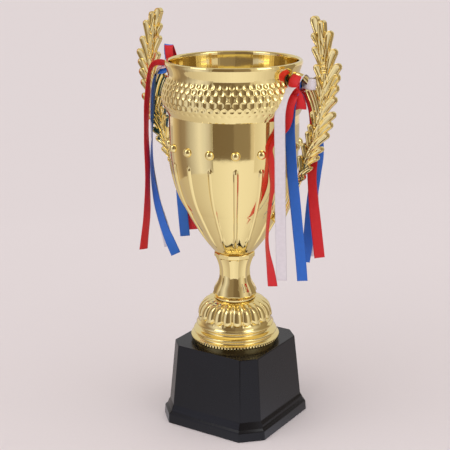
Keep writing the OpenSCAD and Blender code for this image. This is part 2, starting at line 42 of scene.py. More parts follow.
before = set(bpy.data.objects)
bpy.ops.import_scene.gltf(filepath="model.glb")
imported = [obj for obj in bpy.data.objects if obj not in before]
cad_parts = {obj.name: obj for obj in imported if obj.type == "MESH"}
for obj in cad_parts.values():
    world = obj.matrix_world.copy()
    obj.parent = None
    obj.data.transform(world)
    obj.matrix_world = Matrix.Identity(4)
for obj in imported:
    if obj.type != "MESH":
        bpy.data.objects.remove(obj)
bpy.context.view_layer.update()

MM = 0.001
SHARP = math.radians(28)


# ---------- sizes taken from the frame, in millimetres ----------

def low(node, axis=2):
    """The lowest corner of a node along an axis, in millimetres."""
    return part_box(node)[0][axis] / MM


def high(node, axis=2):
    """The highest corner of a node along an axis, in millimetres."""
    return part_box(node)[1][axis] / MM


SKIRT_HALF = high("base_shell", 0)
RIM_Z = low("base_shell")
PLINTH_Z = high("base_shell")
RING_Z = low("neck_ring")
STEM_Z = high("neck_ring")
BOWL_Z = RING_Z + high("stem") - low("neck_ring")
BAND_Z = low("rim_band")
TOP_Z = high("rim_band")
RING_R = high("neck_ring", 0)
BULGE_R = high("rim_band", 0)
BOWL_R = BULGE_R - 6.6
NECK_R = BOWL_R - 0.1
RIM_R = BOWL_R + 3
NECK_Z = BAND_Z + 36.2
BEAD_Z = BAND_Z - 30.1


# ---------- user settings ----------

class CupSizes(bpy.types.PropertyGroup):
    """Sizes and counts of the cup's ornament"""
    beads: IntProperty(name="Beads", description="Beads round the cup, with a rib under each",
                       default=16, min=8, max=24)
    bead_radius: FloatProperty(name="Bead radius", description="Radius of each bead",
                               default=4.45 * MM, unit="LENGTH", precision=4)
    rib_width: FloatProperty(name="Rib width", description="Width of a rib at its top",
                             default=4.6 * MM, unit="LENGTH", precision=4)
    cells: IntProperty(name="Dimples", description="Dimples in one row round the band",
                       default=64, min=40, max=90)
    dimple_depth: FloatProperty(name="Dimple depth", description="Depth of the deepest dimples",
                                default=0.85 * MM, unit="LENGTH", precision=4)
    flutes: IntProperty(name="Flutes", description="Concave flutes round the stem",
                        default=12, min=8, max=16)
    lobes: IntProperty(name="Lobes", description="Raised lobes round the foot",
                       default=22, min=16, max=30)
    ribbon_width: FloatProperty(name="Ribbon width", description="Width of the satin ribbon",
                                default=10 * MM, unit="LENGTH", precision=4)


def colour_of(name, description, value):
    """A colour setting, kept as an sRGB hex value."""
    return StringProperty(name=name, description=description, default=value)


class CupColours(bpy.types.PropertyGroup):
    """Colours of the finishes, as sRGB hex values"""
    gilt: colour_of("Gilt", "Champagne gold plating", "#FFE9A0")
    black: colour_of("Plinth", "Black ABS of the plinth", "#08080C")
    felt: colour_of("Felt", "Felt under the plinth", "#1C1D22")
    steel: colour_of("Zinc", "Zinc plating on the fixings", "#C4C6CC")
    raw: colour_of("Weight", "Oiled steel of the weight", "#5E5B58")
    red: colour_of("Red", "Red satin ribbon", "#E8101A")
    white: colour_of("White", "White satin ribbon", "#F4ECF2")
    blue: colour_of("Blue", "Blue satin ribbon", "#2472DC")
    floor: colour_of("Floor", "Pale studio floor", "#E7DEDF")
    tint: FloatVectorProperty(name="Light tint", description="Tint of the soft lights",
                              subtype="COLOR", default=(1.0, 0.985, 0.96), min=0, max=1)


# ---------- shared mesh steps ----------

def bezier(points, t):
    """A point on a cubic curve with four control points."""
    a, b, c, d = (Vector(p) for p in points)
    u = 1 - t
    return a * u ** 3 + b * 3 * u * u * t + c * 3 * u * t * t + d * t ** 3


def stretch(points, n):
    """n points along a cubic curve, without its last one."""
    return [bezier(points, i / n) for i in range(n)]


def spun(bm, outline, steps, start=0.0):
    """Spins a [radius, height] outline a full turn about Z and returns the new vertices."""
    old = set(bm.verts)
    turn = Matrix.Rotation(start, 3, "Z")
    verts = [bm.verts.new(turn @ Vector((r, 0, z))) for r, z in outline]
    edges = [bm.edges.new(pair) for pair in zip(verts, verts[1:])]
    bmesh.ops.spin(bm, geom=verts + edges, cent=(0, 0, 0), axis=(0, 0, 1), angle=2 * math.pi,
                   steps=steps, use_merge=True)
    return [v for v in bm.verts if v not in old]


def ring_outline(outline):
    """A closed outline: the first point again at the end."""
    return list(outline) + [outline[0]]


def sweep(bm, path, across, through, sides, normal=Vector((0, 1, 0))):
    """A bar of oval section along path. across lies in the path's plane, through along normal."""
    rings = []
    for i, point in enumerate(path):
        ahead = path[min(i + 1, len(path) - 1)] - path[max(i - 1, 0)]
        side = normal.cross(ahead).normalized()
        place = Matrix((side, normal, ahead.normalized())).transposed().to_4x4()
        place.translation = point
        size = Matrix.Diagonal((across[i], through[i], 1, 1))
        made = bmesh.ops.create_circle(bm, segments=sides, radius=1, matrix=place @ size)
        rings.append(list({e for v in made["verts"] for e in v.link_edges}))
    for one, two in zip(rings, rings[1:]):
        bmesh.ops.bridge_loops(bm, edges=one + two)
    bmesh.ops.holes_fill(bm, edges=rings[0] + rings[-1], sides=sides)


def new_object(name, bm, material):
    """Turns a bmesh into an object of the scene with one material."""
    mesh = bpy.data.meshes.new(name)
    bm.to_mesh(mesh)
    bm.free()
    mesh.materials.append(material)
    made = bpy.data.objects.new(name, mesh)
    bpy.context.scene.collection.objects.link(made)
    return made


def join_part(bm, part):
    """Adds the mesh of another bmesh, which is then freed."""
    mesh = bpy.data.meshes.new("part")
    part.to_mesh(mesh)
    part.free()
    bm.from_mesh(mesh)
    bpy.data.meshes.remove(mesh)


def verts_of(made):
    """The vertices among the parts that an operator made."""
    return [v for v in made if isinstance(v, bmesh.types.BMVert)]


def finished(name, bm, material, slot, stands_for=(), sharp=SHARP, recalculate=True,
             flat_over=math.inf):
    """Turns a bmesh in millimetres into a piece of the object that rides on the root body.
    Faces larger than flat_over, in square millimetres, are shaded flat."""
    bmesh.ops.remove_doubles(bm, verts=bm.verts, dist=0.002)
    if recalculate:
        bmesh.ops.recalc_face_normals(bm, faces=bm.faces)
    for face in bm.faces:
        face.smooth = face.calc_area() < flat_over
    for edge in bm.edges:
        edge.smooth = not (edge.is_manifold and edge.calc_face_angle() > sharp)
    bmesh.ops.scale(bm, vec=(MM, MM, MM), verts=bm.verts)
    piece = new_object(name, bm, material)
    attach(piece, "root")
    if stands_for:
        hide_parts(*stands_for)
    return piece


# ---------- materials ----------

def linear(code):
    """An sRGB hex value as linear red, green, blue and alpha."""
    channels = [int(code[i:i + 2], 16) / 255 for i in (1, 3, 5)]
    return tuple(c / 12.92 if c <= 0.04045 else ((c + 0.055) / 1.055) ** 2.4
                 for c in channels) + (1.0,)


def add(tree, kind, settings=None, inputs=None):
    """Adds a node. An input's value is a number, a colour or another node's output."""
    node = tree.nodes.new(kind)
    for key, value in (settings or {}).items():
        setattr(node, key, value)
    for key, value in (inputs or {}).items():
        if isinstance(value, bpy.types.NodeSocket):
            tree.links.new(value, node.inputs[key])
        else:
            node.inputs[key].default_value = value
    return node


def blank(name):
    """A new material with its nodes, its shader and its Object coordinates in millimetres."""
    material = bpy.data.materials.new(name)
    material.use_nodes = True
    tree = material.node_tree
    shader = tree.nodes["Principled BSDF"]
    place = add(tree, "ShaderNodeTexCoord")
    scaled = add(tree, "ShaderNodeMapping", inputs={
        "Vector": place.outputs["Object"], "Scale": (1 / MM, 1 / MM, 1 / MM)})
    return material, tree, shader, scaled.outputs["Vector"]


def plated_gilt(colours):
    """Vacuum-plated ABS: a mirror with a faint orange peel, and a slight bloom from handling."""
    material, tree, shader, place = blank("plated_gilt_on_ABS")
    shader.inputs["Base Color"].default_value = linear(colours.gilt)
    shader.inputs["Metallic"].default_value = 1.0
    bloom = add(tree, "ShaderNodeTexNoise", inputs={
        "Vector": place, "Scale": 1 / 25, "Detail": 3.0})
    rough = add(tree, "ShaderNodeMapRange", inputs={
        "Value": bloom.outputs["Fac"], "From Min": 0.35, "From Max": 0.7,
        "To Min": 0.045, "To Max": 0.095})
    tree.links.new(rough.outputs["Result"], shader.inputs["Roughness"])
    peel = add(tree, "ShaderNodeTexNoise", inputs={
        "Vector": place, "Scale": 1 / 7, "Detail": 1.0})
    bump = add(tree, "ShaderNodeBump", inputs={
        "Height": peel.outputs["Fac"], "Strength": 0.05, "Distance": 0.6 * MM})
    tree.links.new(bump.outputs["Normal"], shader.inputs["Normal"])
    return material


def moulded_black(colours):
    """Injection-moulded black ABS: a satin gloss with a very fine texture and a few rubs."""
    material, tree, shader, place = blank("moulded_black_ABS")
    shader.inputs["IOR"].default_value = 1.4
    rubs = add(tree, "ShaderNodeTexNoise", inputs={
        "Vector": place, "Scale": 1 / 18, "Detail": 6.0, "Roughness": 0.6})
    tone = add(tree, "ShaderNodeMix", {"data_type": "RGBA"}, {
        "Factor": rubs.outputs["Fac"], "A": linear(colours.black), "B": linear("#0D0D12")})
    tree.links.new(tone.outputs["Result"], shader.inputs["Base Color"])
    rough = add(tree, "ShaderNodeMapRange", inputs={
        "Value": rubs.outputs["Fac"], "From Min": 0.3, "From Max": 0.7,
        "To Min": 0.2, "To Max": 0.3})
    tree.links.new(rough.outputs["Result"], shader.inputs["Roughness"])
    grain = add(tree, "ShaderNodeTexNoise", inputs={
        "Vector": place, "Scale": 1 / 0.8, "Detail": 2.0})
    bump = add(tree, "ShaderNodeBump", inputs={
        "Height": grain.outputs["Fac"], "Strength": 0.08, "Distance": 0.05 * MM})
    tree.links.new(bump.outputs["Normal"], shader.inputs["Normal"])
    return material


def pressed_felt(colours):
    """Pressed felt: matt, with a nap of short fibres that catches a little light."""
    material, tree, shader, place = blank("pressed_felt")
    shader.inputs["Roughness"].default_value = 0.95
    shader.inputs["Sheen Weight"].default_value = 0.4
    fibres = add(tree, "ShaderNodeTexNoise", inputs={
        "Vector": place, "Scale": 1 / 0.9, "Detail": 5.0})
    tone = add(tree, "ShaderNodeMix", {"data_type": "RGBA"}, {
        "Factor": fibres.outputs["Fac"], "A": linear(colours.felt), "B": linear("#2C2D33")})
    tree.links.new(tone.outputs["Result"], shader.inputs["Base Color"])
    bump = add(tree, "ShaderNodeBump", inputs={
        "Height": fibres.outputs["Fac"], "Strength": 0.5, "Distance": 0.3 * MM})
    tree.links.new(bump.outputs["Normal"], shader.inputs["Normal"])
    return material


def zinc_plate(colours):
    """Bright zinc plating on steel fixings: a soft metal shine with small cloudy spangles."""
    material, tree, shader, place = blank("zinc_plated_steel")
    shader.inputs["Metallic"].default_value = 1.0
    cloud = add(tree, "ShaderNodeTexVoronoi", inputs={"Vector": place, "Scale": 1 / 1.5})
    tone = add(tree, "ShaderNodeMix", {"data_type": "RGBA"}, {
        "Factor": cloud.outputs["Distance"], "A": linear(colours.steel), "B": linear("#A9ACB4")})
    tree.links.new(tone.outputs["Result"], shader.inputs["Base Color"])
    rough = add(tree, "ShaderNodeMapRange", inputs={
        "Value": cloud.outputs["Distance"], "To Min": 0.22, "To Max": 0.38})
    tree.links.new(rough.outputs["Result"], shader.inputs["Roughness"])
    return material


def sawn_steel(colours):
    """Sawn mild steel, oiled: dull grey with fine saw lines 0.7 mm apart."""
    material, tree, shader, place = blank("sawn_mild_steel")
    shader.inputs["Metallic"].default_value = 1.0
    shader.inputs["Base Color"].default_value = linear(colours.raw)
    shader.inputs["Roughness"].default_value = 0.5
    lines = add(tree, "ShaderNodeTexWave", inputs={
        "Vector": place, "Scale": 1 / 0.7, "Distortion": 1.5})
    bump = add(tree, "ShaderNodeBump", inputs={
        "Height": lines.outputs["Fac"], "Strength": 0.3, "Distance": 0.1 * MM})
    tree.links.new(bump.outputs["Normal"], shader.inputs["Normal"])
    return material


def woven_satin(name, code):
    """Woven polyester satin: soft lengthwise shine, fine cross threads and a firm selvedge."""
    material, tree, shader, _ = blank(name)
    shader.inputs["IOR"].default_value = 1.5
    shader.inputs["Sheen Weight"].default_value = 0.12
    shader.inputs["Sheen Roughness"].default_value = 0.4
    shader.inputs["Anisotropic"].default_value = 0.5
    own = add(tree, "ShaderNodeUVMap", {"uv_map": "weave"})
    # The threads are drawn 0.5 mm apart, about twice the real spacing, so that they show.
    threads = add(tree, "ShaderNodeMapping", inputs={
        "Vector": own.outputs["UV"], "Scale": (1.0, 2.0, 1.0)})
    weft = add(tree, "ShaderNodeTexWave", {"bands_direction": "Y"}, {
        "Vector": threads.outputs["Vector"], "Scale": 1.0, "Distortion": 0.6,
        "Detail": 2.0, "Detail Scale": 0.5})
    slub = add(tree, "ShaderNodeTexNoise", inputs={
        "Vector": own.outputs["UV"], "Scale": 0.25, "Detail": 3.0})
    parts = add(tree, "ShaderNodeSeparateXYZ", inputs={"Vector": own.outputs["UV"]})
    centred = add(tree, "ShaderNodeMath", {"operation": "SUBTRACT"}, {
        0: parts.outputs["X"], 1: 5.0})
    off = add(tree, "ShaderNodeMath", {"operation": "ABSOLUTE"}, {0: centred.outputs[0]})
    edge = add(tree, "ShaderNodeMapRange", inputs={
        "Value": off.outputs[0], "From Min": 4.3, "From Max": 4.6})
    dark = tuple(c * 0.82 for c in linear(code)[:3]) + (1.0,)
    body = add(tree, "ShaderNodeMix", {"data_type": "RGBA"}, {
        "Factor": slub.outputs["Fac"], "A": dark, "B": linear(code)})
    tone = add(tree, "ShaderNodeMix", {"data_type": "RGBA"}, {
        "Factor": edge.outputs["Result"], "A": body.outputs["Result"], "B": dark})
    tree.links.new(tone.outputs["Result"], shader.inputs["Base Color"])
    rough = add(tree, "ShaderNodeMapRange", inputs={
        "Value": weft.outputs["Fac"], "To Min": 0.34, "To Max": 0.5})
    tree.links.new(rough.outputs["Result"], shader.inputs["Roughness"])
    height = add(tree, "ShaderNodeMath", {"operation": "ADD"}, {
        0: weft.outputs["Fac"], 1: edge.outputs["Result"]})
    bump = add(tree, "ShaderNodeBump", inputs={
        "Height": height.outputs[0], "Strength": 0.25, "Distance": 0.08 * MM})
    tree.links.new(bump.outputs["Normal"], shader.inputs["Normal"])
    return material


def finish(name):
    """The material of that name, made once."""
    colours = bpy.context.scene.cup_colours
    if name not in bpy.data.materials:
        {
            "plated_gilt_on_ABS": lambda: plated_gilt(colours),
            "moulded_black_ABS": lambda: moulded_black(colours),
            "pressed_felt": lambda: pressed_felt(colours),
            "zinc_plated_steel": lambda: zinc_plate(colours),
            "sawn_mild_steel": lambda: sawn_steel(colours),
            "woven_satin_red": lambda: woven_satin(name, colours.red),
            "woven_satin_white": lambda: woven_satin(name, colours.white),
            "woven_satin_blue": lambda: woven_satin(name, colours.blue),
        }[name]()
    return bpy.data.materials[name]


# ---------- the stage ----------

def painted_reflection_glow(name, stops, strength=1.0):
    """A glow that changes round the cup, seen only in mirrors: a painted reflection for the gilt.
    Each stop is degrees from the camera's side, an sRGB colour and a level."""
    material = bpy.data.materials.new(name)
    material.use_nodes = True
    tree = material.node_tree
    tree.nodes.remove(tree.nodes["Principled BSDF"])
    place = add(tree, "ShaderNodeTexCoord")
    turned = add(tree, "ShaderNodeMapping", inputs={
        "Vector": place.outputs["Object"],
        "Rotation": (0, 0, math.radians(90 - CAMERA_AZIMUTH))})
    angle = add(tree, "ShaderNodeTexGradient", {"gradient_type": "RADIAL"}, {
        "Vector": turned.outputs["Vector"]})
    ramp = add(tree, "ShaderNodeValToRGB", inputs={"Fac": angle.outputs["Fac"]})
    elements = ramp.color_ramp.elements
    while len(elements) < len(stops):
        elements.new(0.5)
    for element, (degrees, code, level) in zip(elements, stops):
        element.position = 0.5 + degrees / 360
        element.color = tuple(c * level for c in linear(code)[:3]) + (1.0,)
    light = add(tree, "ShaderNodeEmission", inputs={
        "Color": ramp.outputs["Color"], "Strength": strength})
    tree.links.new(light.outputs["Emission"], tree.nodes["Material Output"].inputs["Surface"])
    return material


def painted_reflection_plain(name, code, strength=1.0):
    """A painted reflection glow of one colour all round."""
    return painted_reflection_glow(name, ((-180, code, 1.0), (180, code, 1.0)), strength)


def only_mirrored(piece):
    """Hides a stage piece from everything but mirror reflections."""
    for ray in ("camera", "diffuse", "transmission", "volume_scatter", "shadow"):
        setattr(piece, "visible_" + ray, False)


def painted_reflection_panel(name, start, end, reach, bottom, top, material):
    """A curved glowing panel round the cup that only mirrors see: a painted reflection for the
    gilt. start and end are degrees from the camera's side, counted to its right."""
    bm = bmesh.new()
    facing = math.radians(CAMERA_AZIMUTH - 90)
    first = facing + math.radians(start)
    turn = Matrix.Rotation(first, 3, "Z")
    verts = [bm.verts.new(turn @ Vector((reach, 0, z))) for z in (bottom, top)]
    edge = bm.edges.new(verts)
    bmesh.ops.spin(bm, geom=verts + [edge], cent=(0, 0, 0), axis=(0, 0, 1),
                   angle=math.radians(end - start), steps=24)
    only_mirrored(new_object(name, bm, material))


def painted_reflection_disc(name, reach, z, material):
    """A level glowing disc that only mirrors see: a painted reflection of a ceiling, or a painted
    bright floor reflection round the cup.
    """
    bm = bmesh.new()
    bmesh.ops.create_circle(bm, cap_ends=True, segments=48, radius=reach,
                            matrix=Matrix.Translation((0, 0, z)))
    only_mirrored(new_object(name, bm, material))


def soft_light(name, azimuth, elevation, spread, strength, tint):
    """A broad, distant light. azimuth counts from the front, and spread is its width."""
    data = bpy.data.lights.new(name, "SUN")
    data.angle = math.radians(spread)
    data.energy = strength
    data.color = tint
    lamp = bpy.data.objects.new(name, data)
    a, e = math.radians(azimuth), math.radians(elevation)
    away = Vector((math.sin(a) * math.cos(e), -math.cos(a) * math.cos(e), math.sin(e)))
    lamp.rotation_euler = away.to_track_quat("Z", "Y").to_euler()
    lamp.visible_glossy = False
    bpy.context.scene.collection.objects.link(lamp)


CAMERA_AZIMUTH = 32.5
CAMERA_PLACE = (0.5610, -0.8806, 0.5036)
CAMERA_HEADING = 33.02
CAMERA_TILT = 16.165
CAMERA_ROLL = -0.443
CAMERA_LENS = 87.74


def make_camera():
    """The camera, at the height and side from which the cup is looked at."""
    data = bpy.data.cameras.new("camera")
    data.lens = CAMERA_LENS
    data.sensor_width = 36
    data.clip_start = 0.05
    camera = bpy.data.objects.new("camera", data)
    turn = (Matrix.Rotation(math.radians(CAMERA_HEADING), 4, "Z")
            @ Matrix.Rotation(math.radians(90 - CAMERA_TILT), 4, "X")
            @ Matrix.Rotation(math.radians(CAMERA_ROLL), 4, "Z"))
    camera.matrix_world = Matrix.Translation(CAMERA_PLACE) @ turn
    bpy.context.scene.collection.objects.link(camera)
    bpy.context.scene.camera = camera


def make_floor(colours):
    """A wide plain floor that runs to the horizon, and a world of the same pale tone."""
    bm = bmesh.new()
    bmesh.ops.create_grid(bm, x_segments=8, y_segments=8, size=12.0)
    material, tree, shader, place = blank("matt_studio_paper")
    shader.inputs["Roughness"].default_value = 0.9
    shader.inputs["Specular IOR Level"].default_value = 0.2
    tooth = add(tree, "ShaderNodeTexNoise", inputs={"Vector": place, "Scale": 1 / 3})
    tone = add(tree, "ShaderNodeMix", {"data_type": "RGBA"}, {
        "Factor": tooth.outputs["Fac"], "A": linear(colours.floor), "B": linear("#E4DBDC")})
    tree.links.new(tone.outputs["Result"], shader.inputs["Base Color"])
    new_object("floor", bm, material)
    world = bpy.data.worlds.new("pale_room")
    world.use_nodes = True
    back = world.node_tree.nodes["Background"]
    back.inputs["Color"].default_value = linear("#F4F1F1")
    back.inputs["Strength"].default_value = 0.72
    bpy.context.scene.world = world


class CUP_OT_stage(bpy.types.Operator):
    """Adds the camera, the floor, the soft lights and the glowing panels that only the gilt
    mirrors: painted reflections and painted highlights
    """
    bl_idname = "cup.stage"
    bl_label = "Stage"

    def execute(self, context):
        colours = context.scene.cup_colours
        context.scene.view_settings.view_transform = "Standard"
        make_camera()
        make_floor(colours)
        tint = tuple(colours.tint)
        soft_light("key_light", azimuth=CAMERA_AZIMUTH - 55, elevation=55, spread=60,
                   strength=0.78, tint=tint)
        soft_light("fill_light", azimuth=CAMERA_AZIMUTH + 60, elevation=45, spread=60,
                   strength=0.46, tint=tint)
        # Glowing panels seen only in mirrors: painted reflections of dark and bright walls in the
        # gilt. They light nothing.
        painted_reflection_panel("reflection_panel_left", -130, -36, 0.62, 0.0, 1.6, painted_reflection_glow("left_walls", (
            (-130, "#D8CEC3", 1.0), (-118, "#BAA797", 1.0), (-104, "#8E7E78", 1.0),
            (-92, "#968885", 1.0), (-80, "#BAB6C3", 1.0), (-71, "#D0CEE0", 1.0),
            (-60, "#EAE9FE", 1.0), (-50, "#DADAEF", 1.0), (-42, "#C8C4D5", 1.0),
            (-36, "#A09995", 1.0))))
        painted_reflection_panel("reflection_panel_front", -36, 34, 0.9, 0.0, 1.6, painted_reflection_glow("front_walls", (
            (-36, "#78695C", 0.95), (-20, "#7A6B60", 0.95), (-1.5, "#7C6E64", 0.95),
            (0.5, "#8C7F76", 0.98), (26.5, "#90837A", 0.98), (28.5, "#C8BEBA", 1.0),
            (34, "#DAD0D0", 1.0))))
        painted_reflection_panel("reflection_panel_right", 34, 118, 0.62, 0.0, 1.6, painted_reflection_glow("right_walls", (
            (34, "#DED7D9", 0.95), (52, "#E6E3EB", 1.0), (66, "#D0CACC", 0.95),
            (84, "#A89B8C", 0.85), (118, "#988A7D", 0.85))))
        # Bright glowing boxes seen only in mirrors: painted highlights on the gilt. They light
        # nothing.
        for name, start, end, low_z, high_z in (
                ("soft_box_left", -75, -48, 0.6, 1.25), ("soft_box_right", 40, 64, 0.55, 1.15)):
            painted_reflection_panel(name, start, end, 0.58, low_z, high_z,
                            painted_reflection_plain(name, "#FFFFFF", 2.4))
        # A glowing disc seen only in mirrors: a painted reflection of a ceiling in the gilt.
        painted_reflection_disc("painted_ceiling_reflection", 0.95, 1.55, painted_reflection_plain("dim_ceiling", "#B8AEA4"))
        # A glowing disc just above the floor, seen only in mirrors: a painted floor reflection,
        # brightest towards the camera, which the gilt shows in place of the real floor.
        painted_reflection_disc("painted_floor_reflection", 1.6, 0.0006, painted_reflection_glow("lit_floor", (
            (-180, "#B4ABAD", 1.0), (-115, "#BCB1AF", 1.0), (-70, "#D0CAD0", 1.0),
            (-30, "#E4E1EB", 1.0), (0, "#EFEDFA", 1.0), (35, "#E9E6F1", 1.0),
            (75, "#CCC6CA", 1.0), (120, "#B8ADAB", 1.0), (180, "#B4ABAD", 1.0)), 1.04))
        return {"FINISHED"}


# ---------- plinth ----------

def cut_square(half, cut, z):
    """The eight corners of a square of half width half, with its corners cut."""
    a = half - cut
    return [Vector((x, y, z)) for x, y in (
        (half, -a), (half, a), (a, half), (-a, half),
        (-half, a), (-half, -a), (-a, -half), (a, -half))]


def loft(bm, sections):
    """Joins outlines of eight points each by side faces, and returns the loops of vertices."""
    loops = [[bm.verts.new(p) for p in section] for section in sections]
    edges = [[bm.edges.new((loop[i], loop[(i + 1) % 8])) for i in range(8)] for loop in loops]
    for one, two in zip(edges, edges[1:]):
        bmesh.ops.bridge_loops(bm, edges=one + two)
    return loops


class CUP_OT_plinth(bpy.types.Operator):
    """Adds the hollow black plinth with its stepped foot and cut corners"""
    bl_idname = "cup.plinth"
    bl_label = "Plinth"

    def execute(self, context):
        bm = bmesh.new()
        half = SKIRT_HALF
        outer = [cut_square(half, 18.6, RIM_Z), cut_square(half - 0.7, 18.0, RIM_Z + 9),
                 cut_square(half - 3.2, 16.6, RIM_Z + 11.4),
                 cut_square(half - 4.2, 16.0, RIM_Z + 14.5),
                 cut_square(half - 6.0, 14.6, RIM_Z + 17.5),
                 cut_square(half - 11.4, 12.9, PLINTH_Z)]
        loops = loft(bm, outer)
        bmesh.ops.contextual_create(bm, geom=loops[-1])
        edges = [e for e in bm.edges if e.is_manifold and e.calc_face_angle() > 0.2]
        bmesh.ops.bevel(bm, geom=edges, offset=0.7, offset_type="OFFSET", segments=3,
                        profile=0.5, affect="EDGES", material=-1)
        rim = [e for e in bm.edges if e.is_boundary]
        inner = bmesh.ops.extrude_edge_only(bm, edges=rim)["geom"]
        bmesh.ops.scale(bm, vec=(0.887, 0.887, 1), verts=verts_of(inner))
        rim = [e for e in inner if isinstance(e, bmesh.types.BMEdge) and e.is_boundary]
        inner = bmesh.ops.extrude_edge_only(bm, edges=rim)["geom"]
        upward = verts_of(inner)
        bmesh.ops.translate(bm, vec=(0, 0, PLINTH_Z - RIM_Z - 2.6), verts=upward)
        bmesh.ops.scale(bm, vec=(0.86, 0.86, 1), verts=upward)
        bmesh.ops.holes_fill(bm, edges=[e for e in bm.edges if e.is_boundary], sides=0)
        finished("plinth_shell", bm, finish("moulded_black_ABS"), "black_plastic",
                 ["base_shell"], math.radians(50), flat_over=60)
        felt_half = high("base_felt", 0)
        bm = bmesh.new()
        thick = high("base_felt") - low("base_felt")
        cut = cut_square(felt_half, 15.1, 0)
        face = bm.faces.new([bm.verts.new(p) for p in cut])
        area = face.calc_area() * MM * MM
        made = bmesh.ops.extrude_face_region(bm, geom=[face])["geom"]
        bmesh.ops.translate(bm, vec=(0, 0, thick), verts=verts_of(made))
        bmesh.ops.bevel(bm, geom=list(bm.edges), offset=0.35, offset_type="OFFSET", segments=2,
                        profile=0.5, affect="EDGES", material=-1)
        felt = finished("base_pad", bm, finish("pressed_felt"), "felt", ["base_felt"])
        return {"FINISHED"}


# ---------- foot, ring and stem ----------

def foot_outline():
    """The foot's outer outline from the plinth up to the neck ring."""
    z = PLINTH_Z
    steps = [(40.5, 0), (40.5, 3.0), (42.4, 3.2), (44.3, 3.5), (44.7, 4.0), (44.7, 6.1),
             (44.5, 6.5), (42.2, 7.4), (40.8, 8.1), (40.3, 9.0), (40.7, 9.9), (41.6, 10.4),
             (42.0, 11.2), (41.8, 12.1), (40.6, 12.7), (38.2, 13.3), (36.4, 14.2),
             (35.8, 15.4), (36.2, 16.6), (37.5, 17.4), (38.7, 17.9), (39.0, 18.8),
             (38.6, 19.8), (37.7, 20.7), (36.9, 21.6), (36.5, 22.7)]
    lower = [(r, z + h) for r, h in steps]
    dome = [(36.5, z + 22.9), (37.6, z + 36), (31.0, z + 43.2), (RING_R, RING_Z)]
    return lower + [tuple(p) for p in stretch(dome, 34)] + [(RING_R - 0.2, RING_Z)]


# The foot's ornament, in millimetres: how far a lobe and a dart stand out of the groove between
# lobes, how deep the groove is, and how deep the gaps between the flange's teeth are.
LOBE_RISE = 2.8
DART_RISE = 0.6
GROOVE_DEPTH = 2.0
TOOTH_DEPTH = 2.0
# The turn of the first lobe, which sets a groove in line with a corner of the stem.
FIRST_LOBE = math.radians(-62.05)


class CUP_OT_foot(bpy.types.Operator):
    """Adds the foot: a serrated flange, two mouldings and a dome of raised lobes"""
    bl_idname = "cup.foot"
    bl_label = "Foot"

    def execute(self, context):
        lobes = context.scene.cup_sizes.lobes
        teeth = 4 * lobes
        steps = 32 * lobes
        bm = bmesh.new()
        outer = spun(bm, foot_outline(), steps, FIRST_LOBE)
        start_z = PLINTH_Z + 23
        for v in outer:
            r = math.hypot(v.co.x, v.co.y)
            turn = (math.atan2(v.co.y, v.co.x) - FIRST_LOBE) % (2 * math.pi) / (2 * math.pi)
            u = turn * lobes % 1 - 0.5
            rise = v.co.z - start_z
            shift = 0.0
            if rise > 0:
                fade = min(1, rise / 2.5) * (0.35 + 0.65 * min(1, (RING_Z - v.co.z) / 7))
                end = min(1, max(0, (rise - 2.2) / 3.6))
                half = 0.485 * math.sqrt(1 - (1 - end) ** 2)
                lobe = (1 - (u / half) ** 2) ** 0.5 if half > abs(u) else 0
                dart_half = 0.05 + 0.1 * max(0, 1 - rise / 5)
                dart = max(0, 1 - (0.5 - abs(u)) / dart_half) if rise > 0.8 else 0
                shift = fade * (max(LOBE_RISE * lobe, DART_RISE * dart) - GROOVE_DEPTH)
            elif r > 41.1 and PLINTH_Z + 3.4 < v.co.z < PLINTH_Z + 6.4:
                on_tooth = math.cos(turn * teeth * 2 * math.pi) > -0.3
                shift = 0.0 if on_tooth else -TOOTH_DEPTH
            scale = (r + shift) / r
            v.co.x *= scale
            v.co.y *= scale
        z = PLINTH_Z
        inner = [(RING_R - 0.2, RING_Z), (14.1, RING_Z), (14.1, RING_Z - 5), (30, z + 38),
                 (33.2, z + 30), (33.8, z + 22), (34.2, z + 14), (37.6, z + 6), (38.5, z),
                 (40.5, z)]
        spun(bm, inner, steps, FIRST_LOBE)
        finished("foot_moulding", bm, finish("plated_gilt_on_ABS"), "gilt", ["foot"],
                 math.radians(58))
        return {"FINISHED"}


